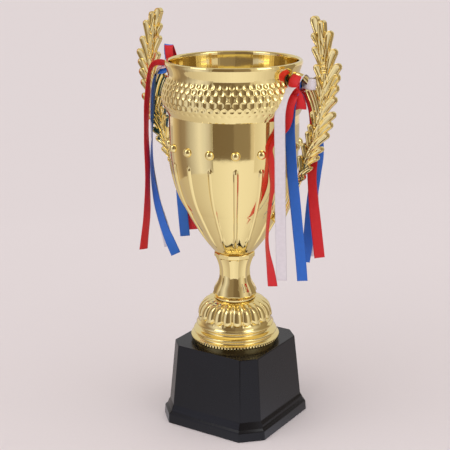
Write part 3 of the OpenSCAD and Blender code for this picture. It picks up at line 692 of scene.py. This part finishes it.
class CUP_OT_stem(bpy.types.Operator):
    """Adds the neck ring and the stem with its sharp flutes and twelve-sided collar"""
    bl_idname = "cup.stem"
    bl_label = "Stem"

    def execute(self, context):
        z = RING_Z
        r = RING_R
        bm = bmesh.new()
        spun(bm, ring_outline([
            (14.1, z), (r - 1.6, z), (r - 1.6, z + 0.35), (r - 0.3, z + 0.5), (r, z + 0.8),
            (r, z + 2.0), (r - 0.3, z + 2.3), (r - 1.8, z + 2.45), (r - 1.8, z + 2.8),
            (14.1, z + 2.8)]), 128)
        finished("neck_ring_moulding", bm, finish("plated_gilt_on_ABS"), "gilt", ["neck_ring"])
        flutes = context.scene.cup_sizes.flutes
        z = STEM_Z
        top = BOWL_Z
        low_flare = [(22.5, z + 3.2), (19.6, z + 12.2), (15.6, z + 11.2), (15.6, z + 24.8)]
        high_flare = [(15.6, z + 24.8), (15.6, z + 30), (17.0, z + 35.4), (19.3, z + 40.2)]
        outline = ([(14.1, z), (19.4, z), (20.6, z + 0.5), (22.0, z + 1.4), (22.5, z + 2.3)]
                   + [tuple(p) for p in stretch(low_flare, 16)]
                   + [tuple(p) for p in stretch(high_flare, 12)]
                   + [(19.3, z + 40.2), (19.6, z + 40.9), (20.6, z + 41.3), (20.7, z + 41.8),
                      (20.7, top - 0.9), (20.1, top - 0.2), (19.2, top), (14.1, top)])
        per = 8
        half_face = math.pi / flutes
        bm = bmesh.new()
        spun(bm, ring_outline(outline), flutes * per, half_face)
        for v in bm.verts:
            radius = math.hypot(v.co.x, v.co.y)
            if radius < 14.5:
                continue
            off = math.atan2(v.co.y, v.co.x) % (2 * half_face)
            off = min(off, 2 * half_face - off)
            flat = math.cos(half_face) / math.cos(off)
            collar = v.co.z > z + 40.5
            sag = 0 if collar else 0.045 * (1 - (off / half_face) ** 2)
            round_off = 0.5 if v.co.z < z + 1 else 1
            scale = 1 + (flat - 1 - sag) * round_off
            v.co.x *= scale
            v.co.y *= scale
        finished("fluted_stem", bm, finish("plated_gilt_on_ABS"), "gilt", ["stem"],
                 math.radians(20))
        return {"FINISHED"}


# ---------- cup ----------

def bowl_curves():
    """The lower and upper curve of the cup's wall."""
    height = BAND_Z - BOWL_Z
    knee = (47.3, BOWL_Z + 0.323 * height)
    lower = [(18.6, BOWL_Z), (25.1, BOWL_Z + 0.0165 * height),
             (44.5, BOWL_Z + 0.280 * height), knee]
    upper = [knee, (59.4, BOWL_Z + 0.466 * height), (BOWL_R, BOWL_Z + 0.666 * height),
             (BOWL_R, BOWL_Z + 0.839 * height)]
    return lower, upper


def uneven_spin(bm, outline, sectors, rib_share, rib_steps, plain_steps):
    """Spins an outline with close steps over each rib and wide steps between the ribs."""
    verts = [bm.verts.new((r, 0, z)) for r, z in outline]
    geom = verts + [bm.edges.new(pair) for pair in zip(verts, verts[1:])]
    turn = Matrix.Rotation(-math.pi / sectors * rib_share, 3, "Z")
    bmesh.ops.rotate(bm, cent=(0, 0, 0), matrix=turn, verts=verts)
    sector = 2 * math.pi / sectors
    for _ in range(sectors):
        for angle, steps in ((sector * rib_share, rib_steps),
                             (sector * (1 - rib_share), plain_steps)):
            made = bmesh.ops.spin(bm, geom=geom, cent=(0, 0, 0), axis=(0, 0, 1),
                                  angle=angle, steps=steps)
            geom = made["geom_last"]


class CUP_OT_bowl(bpy.types.Operator):
    """Adds the cup with its raised ribs and the row of beads above them"""
    bl_idname = "cup.bowl"
    bl_label = "Cup"

    def execute(self, context):
        sizes = context.scene.cup_sizes
        beads = sizes.beads
        lower, upper = bowl_curves()
        half_rib = sizes.rib_width / MM / 2
        rib_top = BEAD_Z - 14.3 - half_rib
        rib_low = BOWL_Z + 5
        wall = 1.8
        line = [tuple(p) for p in stretch(lower, 30)] + [tuple(p) for p in stretch(upper, 64)]
        line.append((BOWL_R, upper[3][1]))
        inner = [(max(r - wall * 1.15, 13), h) for r, h in line[::3] if h > BOWL_Z + 7]
        outline = ([(4.5, BOWL_Z)] + line
                   + [(BOWL_R, BAND_Z + 6), (BOWL_R - wall, BAND_Z + 6), (BOWL_R - wall, BAND_Z)]
                   + inner[::-1] + [(12.6, BOWL_Z + 3), (4.5, BOWL_Z + 3)])
        bm = bmesh.new()
        uneven_spin(bm, ring_outline(outline), beads, 0.3, 14, 6)
        bmesh.ops.remove_doubles(bm, verts=bm.verts, dist=0.002)
        bmesh.ops.recalc_face_normals(bm, faces=bm.faces)
        bm.normal_update()
        sector = 2 * math.pi / beads
        moves = []
        for v in bm.verts:
            r = math.hypot(v.co.x, v.co.y)
            if v.co.z < rib_low or v.co.z > rib_top + half_rib:
                continue
            out = Vector((v.co.x / r, v.co.y / r, 0))
            if v.normal.dot(out) < 0.1:
                continue
            off = math.atan2(v.co.y, v.co.x) % sector
            off = min(off, sector - off) * r
            share = min(1, max(0, (v.co.z - rib_low) / (rib_top - rib_low)))
            half = half_rib * (0.72 + 0.28 * share)
            past = max(0, v.co.z - rib_top)
            away = math.hypot(off, past) / half
            if away < 1:
                rise = (1.1 + 0.8 * share) * (1 - away * away) ** 0.75
                moves.append((v, v.normal * rise * min(1, share * 6)))
        for v, move in moves:
            v.co += move
        turn = Matrix.Rotation(sector / 2, 3, "Z")
        bmesh.ops.rotate(bm, cent=(0, 0, 0), matrix=turn, verts=bm.verts)
        radius = sizes.bead_radius / MM
        for i in range(beads):
            bead = bmesh.new()
            bmesh.ops.create_uvsphere(bead, u_segments=28, v_segments=16, radius=radius,
                                      matrix=Matrix.Rotation(math.pi / 2, 4, "Y"))
            bmesh.ops.bisect_plane(bead, geom=list(bead.verts) + list(bead.edges)
                                   + list(bead.faces), plane_co=(-0.5, 0, 0),
                                   plane_no=(1, 0, 0), clear_inner=True)
            bmesh.ops.holes_fill(bead, edges=[e for e in bead.edges if e.is_boundary], sides=0)
            place = (Matrix.Rotation((i + 0.5) * sector, 4, "Z")
                     @ Matrix.Translation((BOWL_R - 0.5, 0, BEAD_Z)))
            bmesh.ops.transform(bead, matrix=place, verts=bead.verts)
            join_part(bm, bead)
        finished("cup_wall", bm, finish("plated_gilt_on_ABS"), "gilt", ["bowl"],
                 math.radians(40))
        return {"FINISHED"}


# ---------- band ----------

def band_curves():
    """The band's bulge and neck as three cubic curves."""
    edge = BOWL_R + 1
    bulge = [(edge, BAND_Z + 0.2), (edge + 3.4, BAND_Z + 7.3), (BULGE_R, BAND_Z + 9.1),
             (BULGE_R, BAND_Z + 16.8)]
    shoulder = [bulge[3], (BULGE_R, BAND_Z + 25.9), (NECK_R, NECK_Z - 1.5), (NECK_R, NECK_Z)]
    neck = [shoulder[3], (NECK_R, NECK_Z + 3.2), (RIM_R - 0.6, TOP_Z - 6), (RIM_R, TOP_Z - 3)]
    return bulge, shoulder, neck


class Outline:
    """An outline that can be read by the distance along it."""

    def __init__(self, points):
        self.points = [Vector(p) for p in points]
        self.at = [0.0]
        for one, two in zip(self.points, self.points[1:]):
            self.at.append(self.at[-1] + (two - one).length)

    def place(self, distance):
        """The point at that distance, and the direction there that points out of the metal."""
        last = len(self.at) - 2
        i = next((k for k in range(last + 1) if self.at[k + 1] >= distance), last)
        one, two = self.points[i], self.points[i + 1]
        share = (distance - self.at[i]) / (self.at[i + 1] - self.at[i])
        ahead = (two - one).normalized()
        return one + (two - one) * share, Vector((ahead.y, -ahead.x))


ROW = 5.5
FIRST_ROW = 7.6
ROW_SIZES = (0.34, 0.72, 1.0, 1.0, 1.0, 0.85)


def dimple(bm, width, column, row, size, depth):
    """One six-sided cell of a flat sheet: x runs round the band, y along its outline and
    z out of the metal, with a round dimple of that size in it."""
    centre = Vector((column * width, FIRST_ROW + row * ROW, 0))
    corner = ROW / 1.5
    face = bm.faces.new([bm.verts.new(centre + Vector(p)) for p in (
        (width / 2, 0, 0), (width / 2, corner / 2, 0), (width / 4, corner * 0.75, 0),
        (0, corner, 0), (-width / 4, corner * 0.75, 0), (-width / 2, corner / 2, 0),
        (-width / 2, 0, 0), (-width / 2, -corner / 2, 0), (-width / 4, -corner * 0.75, 0),
        (0, -corner, 0), (width / 4, -corner * 0.75, 0), (width / 2, -corner / 2, 0))])
    if size:
        for share, sunk in ((0.93, 0.12), (0.78, 0.42), (0.55, 0.72), (0.28, 0.93)):
            made = bmesh.ops.extrude_discrete_faces(bm, faces=[face])
            face = made["faces"][0]
            for v in face.verts:
                arm = v.co - centre
                arm.z = 0
                full = arm.normalized() * (width / 2)
                arm = arm.normalized() * (width / 2) * share * size
                if share * size > 0.9:
                    arm = arm.lerp(full * share, 0.5)
                v.co = centre + arm + Vector((0, 0, -sunk * depth * size))
        tip = bmesh.ops.poke(bm, faces=[face])["verts"][0]
        tip.co = centre + Vector((0, 0, -depth * size))
    else:
        bmesh.ops.poke(bm, faces=[face])


class CUP_OT_band(bpy.types.Operator):
    """Adds the band: rows of dimples round its bulge, a plain neck and a rolled rim"""
    bl_idname = "cup.band"
    bl_label = "Band"

    def execute(self, context):
        sizes = context.scene.cup_sizes
        cells = sizes.cells
        depth = sizes.dimple_depth / MM
        bulge, shoulder, neck = band_curves()
        rolled = [(RIM_R - 0.1, TOP_Z - 1.8), (RIM_R - 0.6, TOP_Z - 0.7),
                  (RIM_R - 1.6, TOP_Z - 0.1), (RIM_R - 2.8, TOP_Z - 0.2),
                  (RIM_R - 3.7, TOP_Z - 0.8), (RIM_R - 4.1, TOP_Z - 1.8)]
        inner = [(BOWL_R - 1.1 - 0.78 * k, TOP_Z - 4 - 6 * k) for k in range(6)]
        inner.append((BOWL_R - 1.7, TOP_Z - 38.5))
        points = ([tuple(p) for p in stretch(bulge, 30)]
                  + [tuple(p) for p in stretch(shoulder, 30)]
                  + [tuple(p) for p in stretch(neck, 14)] + [(RIM_R, TOP_Z - 3)]
                  + rolled + inner
                  + [(BOWL_R - 1.7, BAND_Z + 6.4), (BOWL_R + 0.1, BAND_Z + 6.4),
                     (BOWL_R + 0.1, BAND_Z), (BOWL_R + 0.7, BAND_Z), (BOWL_R + 1, BAND_Z + 0.2)])
        outline = Outline(points)
        bm = bmesh.new()
        rows = len(ROW_SIZES)
        across = 2 * math.pi * BULGE_R / cells
        for row in range(-1, rows + 1):
            size = ROW_SIZES[row] if 0 <= row < rows else 0
            for column in range(cells):
                dimple(bm, across, column + (row % 2) / 2, row, size, depth)
        bmesh.ops.remove_doubles(bm, verts=bm.verts, dist=0.01)
        bottom = FIRST_ROW - ROW * 0.72
        top = FIRST_ROW + (rows - 0.38) * ROW
        for height, up in ((bottom, -1), (top, 1)):
            bmesh.ops.bisect_plane(bm, geom=list(bm.verts) + list(bm.edges) + list(bm.faces),
                                   plane_co=(0, height, 0), plane_no=(0, up, 0),
                                   clear_outer=True)
        for height, stations in (
                (bottom, (2.2, 0.9, 0.0)),
                (top, [d for d in outline.at if d > top + 1] + [outline.at[-1]])):
            edges = [e for e in bm.edges
                     if e.is_boundary and all(abs(v.co.y - height) < 0.01 for v in e.verts)]
            for station in stations:
                made = bmesh.ops.extrude_edge_only(bm, edges=edges)["geom"]
                for v in verts_of(made):
                    v.co.y = station
                edges = [g for g in made if isinstance(g, bmesh.types.BMEdge)]
        total = across * cells
        for v in bm.verts:
            point, out = outline.place(v.co.y)
            point = point + out * v.co.z
            angle = v.co.x / total * 2 * math.pi
            v.co = Vector((point.x * math.cos(angle), point.x * math.sin(angle), point.y))
        bmesh.ops.remove_doubles(bm, verts=bm.verts, dist=0.01)
        loops = [e for e in bm.edges if e.is_boundary]
        if loops:
            bmesh.ops.bridge_loops(bm, edges=loops)
        finished("rim_band_moulding", bm, finish("plated_gilt_on_ABS"), "gilt", ["rim_band"],
                 math.radians(45))
        return {"FINISHED"}


# ---------- handles ----------

def handle_lines():
    """The spine's two curves, the arm's curve and the lower boss, as (x, z) in millimetres."""
    lower, _ = bowl_curves()
    seat = bezier(lower, 0.86)
    ahead = (bezier(lower, 0.87) - bezier(lower, 0.85)).normalized()
    boss_end = seat + Vector((ahead.y, -ahead.x)) * 9
    x = BOWL_R + 35
    z = TOP_Z + 45
    top = [(x, z - 58), (x, z - 42), (x - 2.5, z - 26), (x - 7.5, z - 13)]
    low_part = [tuple(boss_end), (boss_end.x + 18, boss_end.y + 43), (x, z - 106), (x, z - 58)]
    arm = [(NECK_R + 3, NECK_Z + 3.2), (NECK_R + 16, NECK_Z + 4.5), (x - 9, NECK_Z - 5),
           (x - 4, NECK_Z - 32)]
    return low_part, top, arm, seat, boss_end


OUTER_TIPS = ((94, 406), (103, 397), (108, 381), (113, 368), (112, 358), (111, 348), (110, 337),
              (109, 323), (106, 313), (103, 303), (97.5, 289), (93, 280), (86.5, 270), (79, 260))
INNER_TIPS = ((85, 394), (86, 382), (88, 366), (88.5, 355), (80.5, 344), (85.5, 323),
              (83.5, 311), (81, 304), (76, 292), (73, 280))


def leaf(bm, root, way, tip, width, thick, shift=0.0):
    """A blunt leaf in the XZ plane that leaves root along way and bends to tip: raised edges
    round a sunk face with a low midrib. Points are (x, z), and shift moves it along Y."""
    length = (tip - root).length
    middle = root + way * length * 0.5
    nose = width * 0.5
    half = [(length * a, width * b) for a, b in (
        (0, 0.3), (0.12, 0.4), (0.25, 0.45), (0.38, 0.48), (0.5, 0.5), (0.62, 0.5))]
    half += [(length - nose + nose * math.sin(math.radians(a)),
              nose * math.cos(math.radians(a))) for a in (0, 25, 50, 75)]
    outline = [(a, -b) for a, b in half] + [(length, 0)] + [(a, b) for a, b in half[::-1]]
    one = bmesh.new()
    face = one.faces.new([one.verts.new((a, -thick / 2, b)) for a, b in outline])
    made = bmesh.ops.extrude_face_region(one, geom=[face])["geom"]
    bmesh.ops.translate(one, vec=(0, thick, 0), verts=verts_of(made))
    bmesh.ops.recalc_face_normals(one, faces=one.faces)
    caps = [f for f in one.faces if abs(f.normal.y) > 0.9]
    bmesh.ops.inset_individual(one, faces=caps, thickness=0.5, depth=0, use_even_offset=True)
    bmesh.ops.inset_individual(one, faces=caps, thickness=0.55, depth=-0.8,
                               use_even_offset=True)
    bmesh.ops.inset_individual(one, faces=caps, thickness=0.7, depth=-0.35,
                               use_even_offset=True)
    for at in [0] + [length * k / 8 for k in range(1, 8)]:
        across = at == 0
        made = bmesh.ops.bisect_plane(
            one, geom=list(one.verts) + list(one.edges) + list(one.faces),
            plane_co=(at, 0, 0), plane_no=(0, 0, 1) if across else (1, 0, 0))["geom_cut"]
        if across:
            ridge = [v for v in verts_of(made)
                     if v.co.x < length - 2.5 and abs(v.co.y) < thick / 2 - 0.5]
    for v in one.verts:
        if v in ridge or (abs(v.co.z) < 0.001 and abs(v.co.y) < thick / 2 - 0.5
                          and 1 < v.co.x < length - 2.5):
            v.co.y += math.copysign(0.45, v.co.y)
    for v in one.verts:
        t = v.co.x / length
        line = (root * (1 - t) ** 2 + middle * 2 * t * (1 - t) + tip * t * t)
        ahead = ((middle - root) * (1 - t) + (tip - middle) * t).normalized()
        spot = line + Vector((-ahead.y, ahead.x)) * v.co.z
        v.co = Vector((spot.x, v.co.y + shift, spot.y))
    rim = [e for e in one.edges if e.is_manifold and e.calc_face_angle() > 1.2
           and all(abs(abs(v.co.y - shift) - thick / 2) < 0.01 for v in e.verts)]
    bmesh.ops.bevel(one, geom=rim, offset=0.45, offset_type="OFFSET", segments=2, profile=0.5,
                    affect="EDGES", material=-1)
    join_part(bm, one)


def handle_mesh():
    """The handle on the +X side."""
    low_part, top, arm, seat, boss_end = handle_lines()
    flat = stretch(low_part, 30) + stretch(top, 16) + [Vector(top[3])]
    line = Outline(flat)
    spine = [Vector((p.x, 0, p.y)) for p in flat]
    bm = bmesh.new()
    count = len(spine)
    thickness = [2.2 + 0.9 * math.sin(math.pi * min(1, i / 30)) - 1.1 * max(0, i - 30) / 16
                 for i in range(count)]
    through = [2.0 - 0.5 * min(1, i / 12) for i in range(count)]
    sweep(bm, spine, thickness, through, 16)
    for tips, angles, width, thick in ((OUTER_TIPS, (27, 38), 7.6, 4.4),
                                       (INNER_TIPS, (17, 30), 6.8, 3.4)):
        for i, tip in enumerate(tips):
            point = Vector(tip)
            near = min(range(len(flat)), key=lambda k: (flat[k] - point).length)
            share = i / (len(tips) - 1)
            angle = angles[0] + (angles[1] - angles[0]) * min(1, 2.2 * share)
            back = (flat[near] - point).length / math.tan(math.radians(angle))
            back = back * 1.35 + 5 * min(1, 3 - 3 * share)
            start = max(0.5, line.at[near] - back)
            root, _ = line.place(start)
            ahead, _ = line.place(start + 1)
            size = width * (0.72 + 0.28 * math.sin(math.pi * min(1, 0.25 + share * 0.85)))
            leaf(bm, root, (ahead - root).normalized(), point, size, thick,
                 0.3 * (i % 3) - 0.3)
    root = flat[-14]
    leaf(bm, root, (flat[-12] - root).normalized(), Vector((85.2, TOP_Z + 44)), 7.8, 4.0)
    path = [Vector((p.x, 0, p.y)) for p in stretch(arm, 20)] + [Vector((arm[3][0], 0, arm[3][1]))]
    tall = [3.9 - 2.1 * i / (len(path) - 1) for i in range(len(path))]
    sweep(bm, path, tall, [2.7 - 0.6 * i / (len(path) - 1) for i in range(len(path))], 14)
    for at, direction, length in (
            (Vector((NECK_R + 0.2, 0, NECK_Z)), Vector((1, 0, 0)), 7.5),
            (Vector((seat.x, 0, seat.y)),
             Vector((boss_end.x - seat.x, 0, boss_end.y - seat.y)).normalized(), 10)):
        place = direction.to_track_quat("Z", "Y").to_matrix().to_4x4()
        place.translation = at
        boss = bmesh.new()
        spun(boss, [(0, 0.2), (3.2, 0.2), (3.8, 0.8), (3.9, 1.6), (3.7, length - 2.2),
                    (2.9, length - 0.8), (1.5, length), (0, length)], 32)
        bmesh.ops.transform(boss, matrix=place, verts=boss.verts)
        join_part(bm, boss)
    return bm


class CUP_OT_handles(bpy.types.Operator):
    """Adds the two laurel handles, one the half turn of the other"""
    bl_idname = "cup.handles"
    bl_label = "Handles"

    def execute(self, context):
        for name, node, angle in (("laurel_handle_right", "handle_right", 0),
                                  ("laurel_handle_left", "handle_left", math.pi)):
            bm = handle_mesh()
            bmesh.ops.rotate(bm, cent=(0, 0, 0), matrix=Matrix.Rotation(angle, 3, "Z"),
                             verts=bm.verts)
            finished(name, bm, finish("plated_gilt_on_ABS"), "gilt", [node],
                     math.radians(34))
        return {"FINISHED"}


# ---------- ribbons ----------

KNOT_X = NECK_R + 9
KNOT_Z = NECK_Z + 1.5


class Row5(tuple):
    """Five numbers that add and scale together."""

    def __add__(self, other):
        return Row5(a + b for a, b in zip(self, other))

    def __sub__(self, other):
        return Row5(a - b for a, b in zip(self, other))

    def __mul__(self, k):
        return Row5(a * k for a in self)

    __rmul__ = __mul__


RIBBON_STEP = 2.0  # millimetres between two rows of a ribbon's mesh
RIBBON_CELLS = 8  # cells across a ribbon
RIPPLE = 0.25  # how far a ribbon's edges rock, in millimetres
RIPPLE_SPACING = 9  # the length over which a ripple turns by one radian, in millimetres


def strip_mesh(bm, points, width, curl, seed):
    """A ribbon along [x, y, z, yaw, lift] points. yaw and lift aim its width, and curl is how
    far its edges stand off its middle. Returns its length."""
    marks = [Row5(p) for p in points]
    fine = []
    for i in range(len(marks) - 1):
        a, b = marks[max(i - 1, 0)], marks[i]
        c, d = marks[i + 1], marks[min(i + 2, len(marks) - 1)]
        count = max(3, round(Vector((c - b)[:3]).length / RIBBON_STEP))
        for k in range(count):
            t = k / count
            fine.append(0.5 * ((2 * b) + (c - a) * t + (2 * a - 5 * b + 4 * c - d) * (t * t)
                               + (3 * b - a - 3 * c + d) * t ** 3))
    fine.append(marks[-1])
    weave = bm.loops.layers.uv.new("weave")
    last = len(fine) - 1
    rows = [[] for _ in fine]
    bmesh.ops.create_grid(bm, x_segments=RIBBON_CELLS, y_segments=last, size=0.5)
    for v in bm.verts:
        rows[round((v.co.y + 0.5) * last)].append(v)
    length = 0.0
    spot = {}
    for i, (row, verts) in enumerate(zip(fine, rows)):
        centre = Vector(row[:3])
        ahead = Vector(fine[min(i + 1, last)][:3]) - Vector(fine[max(i - 1, 0)][:3])
        yaw, lift = math.radians(row[3]), math.radians(row[4])
        side = Vector((math.cos(yaw) * math.cos(lift), math.sin(yaw) * math.cos(lift),
                       math.sin(lift)))
        ahead.normalize()
        side = (side - ahead * side.dot(ahead)).normalized()
        out = side.cross(ahead)
        if i:
            length += (centre - Vector(fine[i - 1][:3])).length
        wave = RIPPLE * math.sin(length / RIPPLE_SPACING + seed)
        for v in verts:
            s = v.co.x * 2
            spot[v] = ((v.co.x + 0.5) * width, length)
            v.co = (centre + side * (s * width / 2)
                    + out * (curl * (s * s - 0.4) + wave * s))
    for face in bm.faces:
        for corner in face.loops:
            corner[weave].uv = spot[corner.vert]
    return length


# Each ribbon is one strip from its first tail, round the arm and through its bow, to its
# second tail. Points are [x, y, z, yaw, lift] from the knot, on the right side of the cup.
RIBBONS = {
    "ribbon_red_right": ("woven_satin_red", "red_satin", 1, 0.5, [
        (21, 5, -171, 35, 0), (16, 6, -139, 25, 0), (13, 6, -115, 5, 0), (11, 6, -88, 0, 0),
        (13, 6.5, -58, 10, 0), (12, 7, -34, 25, 0), (7, 7.5, -17, 30, 0), (2, 7, -9, 20, 0),
        (0, 5.8, -3, 0, 0), (-1, 0, 2.6, 0, -10), (-1, -6.6, -1, 0, -12), (-1, -8, -6, 0, -12),
        (-1, -4, -12, 0, 0), (0, 4, -10, 0, 0), (0, 6.2, -3, 0, 0), (-1, 0, 3.4, 0, -10),
        (-1.6, -7.6, -1, -5, -16), (-1.6, -9.8, -6.5, -5, -16), (0, -8.6, -12, 5, -5),
        (3, -9, -17, 20, 0), (5.5, -9.4, -23, 25, 0), (6.5, -8.6, -26.5, 25, 0),
        (5, -7.2, -22, 25, 0), (2, -7.6, -15, 20, 0), (-1, -9.5, -13, 15, 0),
        (-1, -12.5, -17, 15, 0), (-1.5, -17, -24, 20, 0), (-2.5, -18.5, -36, 15, 0),
        (-6, -20, -45, 0, 0), (-11.5, -26, -54, -25, 0), (-14, -29.5, -62, -33, 0),
        (-13.5, -30, -70, -20, 0),
        (-12, -29.5, -84, -22, 0), (-12, -29, -98, -33, 0), (-14, -30, -116, -40, 0),
        (-16, -31, -140, -46, 0), (-16, -31, -157, -35, 0), (-12.5, -30.5, -179, -12, 0),
        (-10, -30.5, -195, 5, 0)]),
    "ribbon_white_right": ("woven_satin_white", "white_satin", 1, 0.5, [
        (-1.4, -28.5, -188, 26, 0), (-2.4, -28.5, -149, 28, 0), (-3.4, -28.5, -111, 32, 0),
        (-3.9, -28.5, -72, 32, 0), (-4.4, -28.5, -44, 28, 0), (-5, -27, -29, 20, 0),
        (-5, -21.5, -17, 8, 0), (-4, -13.5, -9.5, 0, 0), (-2.5, -8.2, -6, 0, 0),
        (-1, -6, -2, 0, 0), (1, 0, 3.6, 0, 0), (2, 5, 0, 0, 20), (4, 3, -4, 20, 60),
        (9, -2, -4.5, 10, 75), (15, -5, -4, 10, 78), (18, -2, -4, 90, 80),
        (15, 2, -4, 170, 78), (8, 4, -4, 170, 80), (4, 4.6, -6, 90, 60),
        (4, 6, -10, 40, 0), (8, 12, -22, 30, 0), (8, 16, -40, 30, 0), (6, 17, -89, 30, 0),
        (7, 18, -128, 30, 0), (9, 18, -175, 30, 0)]),
    "ribbon_blue_right": ("woven_satin_blue", "blue_satin", 1, 0.4, [
        (12, -12, -191, 25, 0), (9.5, -12, -166, 28, 0), (7, -12, -146, 28, 0),
        (3, -12, -113, 25, 0), (0, -12, -89, 20, 0), (-2, -12, -65, 12, 0),
        (-2.5, -13, -47, 5, 0), (-2, -13, -30, 5, 0), (-2, -10, -18, 0, 0), (-1, -6, -9, 0, 0),
        (-1, -4.6, -1, 0, 0), (-1, 0, 3, 0, 0), (-1, 4.1, 0, 0, 0), (0, 5, -8, 20, 0),
        (6, 10, -20, 30, 0), (11, 11.5, -40, 30, 0), (14, 12.5, -69, 30, 0),
        (11, 13, -93, 30, 0), (7, 13, -123, 30, 0), (4, 13, -158, 30, 0),
        (0.5, 13, -181, 30, 0)]),
    "ribbon_red_left": ("woven_satin_red", "red_satin", -1, 0.5, [
        (-34.5, -10, -191, -112, 0), (-31.5, -10, -172, -106, 0), (-29, -10, -156, -98, 0),
        (-27.3, -10, -134, -90, 0), (-26, -10, -102, -84, 0), (-26.5, -10, -74, -84, 0),
        (-26, -10, -56, -84, 0), (-25, -10, -39, -84, 0), (-23.5, -10, -26, -84, 0),
        (-22, -10, -13, -80, 0), (-19.5, -10, -3, -75, 15), (-15, -9.5, 3, -70, 35),
        (-9, -8, 5, -60, 45), (-3, -5.4, 4.5, -30, 30), (-2, -1, 7, 0, 0),
        (-2.5, -1.2, 15, 0, 0), (-3.4, 0, 21.5, 0, 0), (-3, 3.6, 15, 0, 0), (-2, 5, 7, 0, 0),
        (-3, 6, -8, 20, 0), (-2, 16, -22, 30, 0), (0, 18, -45, 30, 0), (2, 19, -86, 30, 0),
        (6, 19, -139, 30, 0), (9, 19, -170, 30, 0)]),
    "ribbon_white_left": ("woven_satin_white", "white_satin", -1, 0.5, [
        (-5, -5, -184, 30, 0), (-12, -4.5, -160, 10, 0), (-19.5, -4.5, -136, -10, 0),
        (-23.3, -4.5, -111, -25, 0), (-24.4, -4, -91, -40, 0), (-25, -4, -64, -55, 0),
        (-24, -4, -43, -60, 0), (-22.5, -4, -25, -66, 0), (-19.5, -4, -11, -66, 0),
        (-16, -4, -3, -50, 0), (-11, -4, 1, -30, 0), (-4, -4.2, 3, -10, 0), (-3, 0, 5.6, 0, 0),
        (-3, 4.8, 2, 0, 0), (-4, 5, -6, 20, 0), (-4, 14, -22, 30, 0), (-3, 16, -45, 30, 0),
        (-2, 16, -86, 30, 0), (-1, 16, -122, 30, 0)]),
    "ribbon_blue_left": ("woven_satin_blue", "blue_satin", -1, 0.4, [
        (4, -6, -191, 33, 0), (-3.5, -6, -177, 20, 0), (-10, -6, -164, 3, 0),
        (-15, -6, -150, -6, 0), (-19, -6, -135, -14, 0), (-22.8, -6, -114, -27, 0),
        (-23.5, -6, -92, -40, 0), (-22.3, -6, -72, -50, 0), (-20.5, -6, -50, -66, 0),
        (-19.3, -6, -34, -72, 0), (-18, -6, -21, -72, 0), (-17, -6, -12, -68, 0),
        (-14, -5.5, -6, -50, 0), (-10, -5.5, -3, -30, 0), (-5, -5.6, 0, 0, 0),
        (-3.4, -0.4, 7, 0, 0), (-3.8, -0.4, 15, 0, 0), (-4.4, 1, 22.2, 0, 0),
        (-4.2, 5, 15, 0, 0), (-4, 6.4, 6, 0, 0), (-3, 6.4, 0, 0, 0), (-2, 7, -9, 20, 0),
        (-2, 9, -22, 30, 0), (-1, 11, -45, 30, 0), (-1, 11, -86, 30, 0), (0, 11, -130, 30, 0),
        (4, 11, -176, 30, 0)]),
}


class CUP_OT_ribbons(bpy.types.Operator):
    """Adds the six satin ribbons tied to the handles"""
    bl_idname = "cup.ribbons"
    bl_label = "Ribbons"

    def execute(self, context):
        width = context.scene.cup_sizes.ribbon_width / MM
        for seed, (node, row) in enumerate(RIBBONS.items()):
            material, slot, side, curl, points = row
            bm = bmesh.new()
            placed = [(p[0] + side * KNOT_X, p[1], p[2] + KNOT_Z, p[3], p[4]) for p in points]
            length = strip_mesh(bm, placed, width, curl, seed)
            piece = finished(node.replace("ribbon", "satin"), bm, finish(material), slot,
                             [node], math.radians(80), recalculate=False)
            thick = piece.modifiers.new("thickness", "SOLIDIFY")
            thick.thickness = 0.25 * MM
            thick.offset = 0
            handle = "laurel_handle_right" if side > 0 else "laurel_handle_left"
        return {"FINISHED"}


# ---------- plain fixings ----------

class CUP_OT_fixings(bpy.types.Operator):
    """Gives the fixings, the weight and the bottom cover their finishes"""
    bl_idname = "cup.fixings"
    bl_label = "Fixings"

    def execute(self, context):
        finishes = {
            "zinc_plated_steel": ("cover_screws", "lower_washer", "lower_nut", "tie_rod",
                                  "upper_washer", "upper_nut", "handle_washers",
                                  "handle_screws"),
            "sawn_mild_steel": ("weight_plate",),
            "moulded_black_ABS": ("base_cover",),
        }
        for name, nodes in finishes.items():
            for node in nodes:
                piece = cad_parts[node]
                piece.data.materials.clear()
                piece.data.materials.append(finish(name))
        return {"FINISHED"}


# ---------- panel and registration ----------

OPERATORS = (CUP_OT_stage, CUP_OT_plinth, CUP_OT_foot, CUP_OT_stem, CUP_OT_bowl, CUP_OT_band,
             CUP_OT_handles, CUP_OT_ribbons, CUP_OT_fixings)


class CUP_PT_panel(bpy.types.Panel):
    """Lists the cup's pieces"""
    bl_idname = "CUP_PT_panel"
    bl_label = "Cup"
    bl_space_type = "VIEW_3D"
    bl_region_type = "UI"
    bl_category = "Cup"

    def draw(self, context):
        for group in (context.scene.cup_sizes, context.scene.cup_colours):
            for key in group.bl_rna.properties.keys():
                if key not in ("rna_type", "name"):
                    self.layout.prop(group, key)
        for operator in OPERATORS:
            self.layout.operator(operator.bl_idname)


def register():
    for cls in (CupSizes, CupColours, *OPERATORS, CUP_PT_panel):
        bpy.utils.register_class(cls)
    bpy.types.Scene.cup_sizes = PointerProperty(type=CupSizes)
    bpy.types.Scene.cup_colours = PointerProperty(type=CupColours)


def unregister():
    del bpy.types.Scene.cup_colours
    del bpy.types.Scene.cup_sizes
    for cls in (CUP_PT_panel, *OPERATORS[::-1], CupColours, CupSizes):
        bpy.utils.unregister_class(cls)


def main():
    register()
    for operator in OPERATORS:
        group, name = operator.bl_idname.split(".")
        getattr(getattr(bpy.ops, group), name)()
    bpy.context.view_layer.update()


if __name__ == "__main__":
    main()
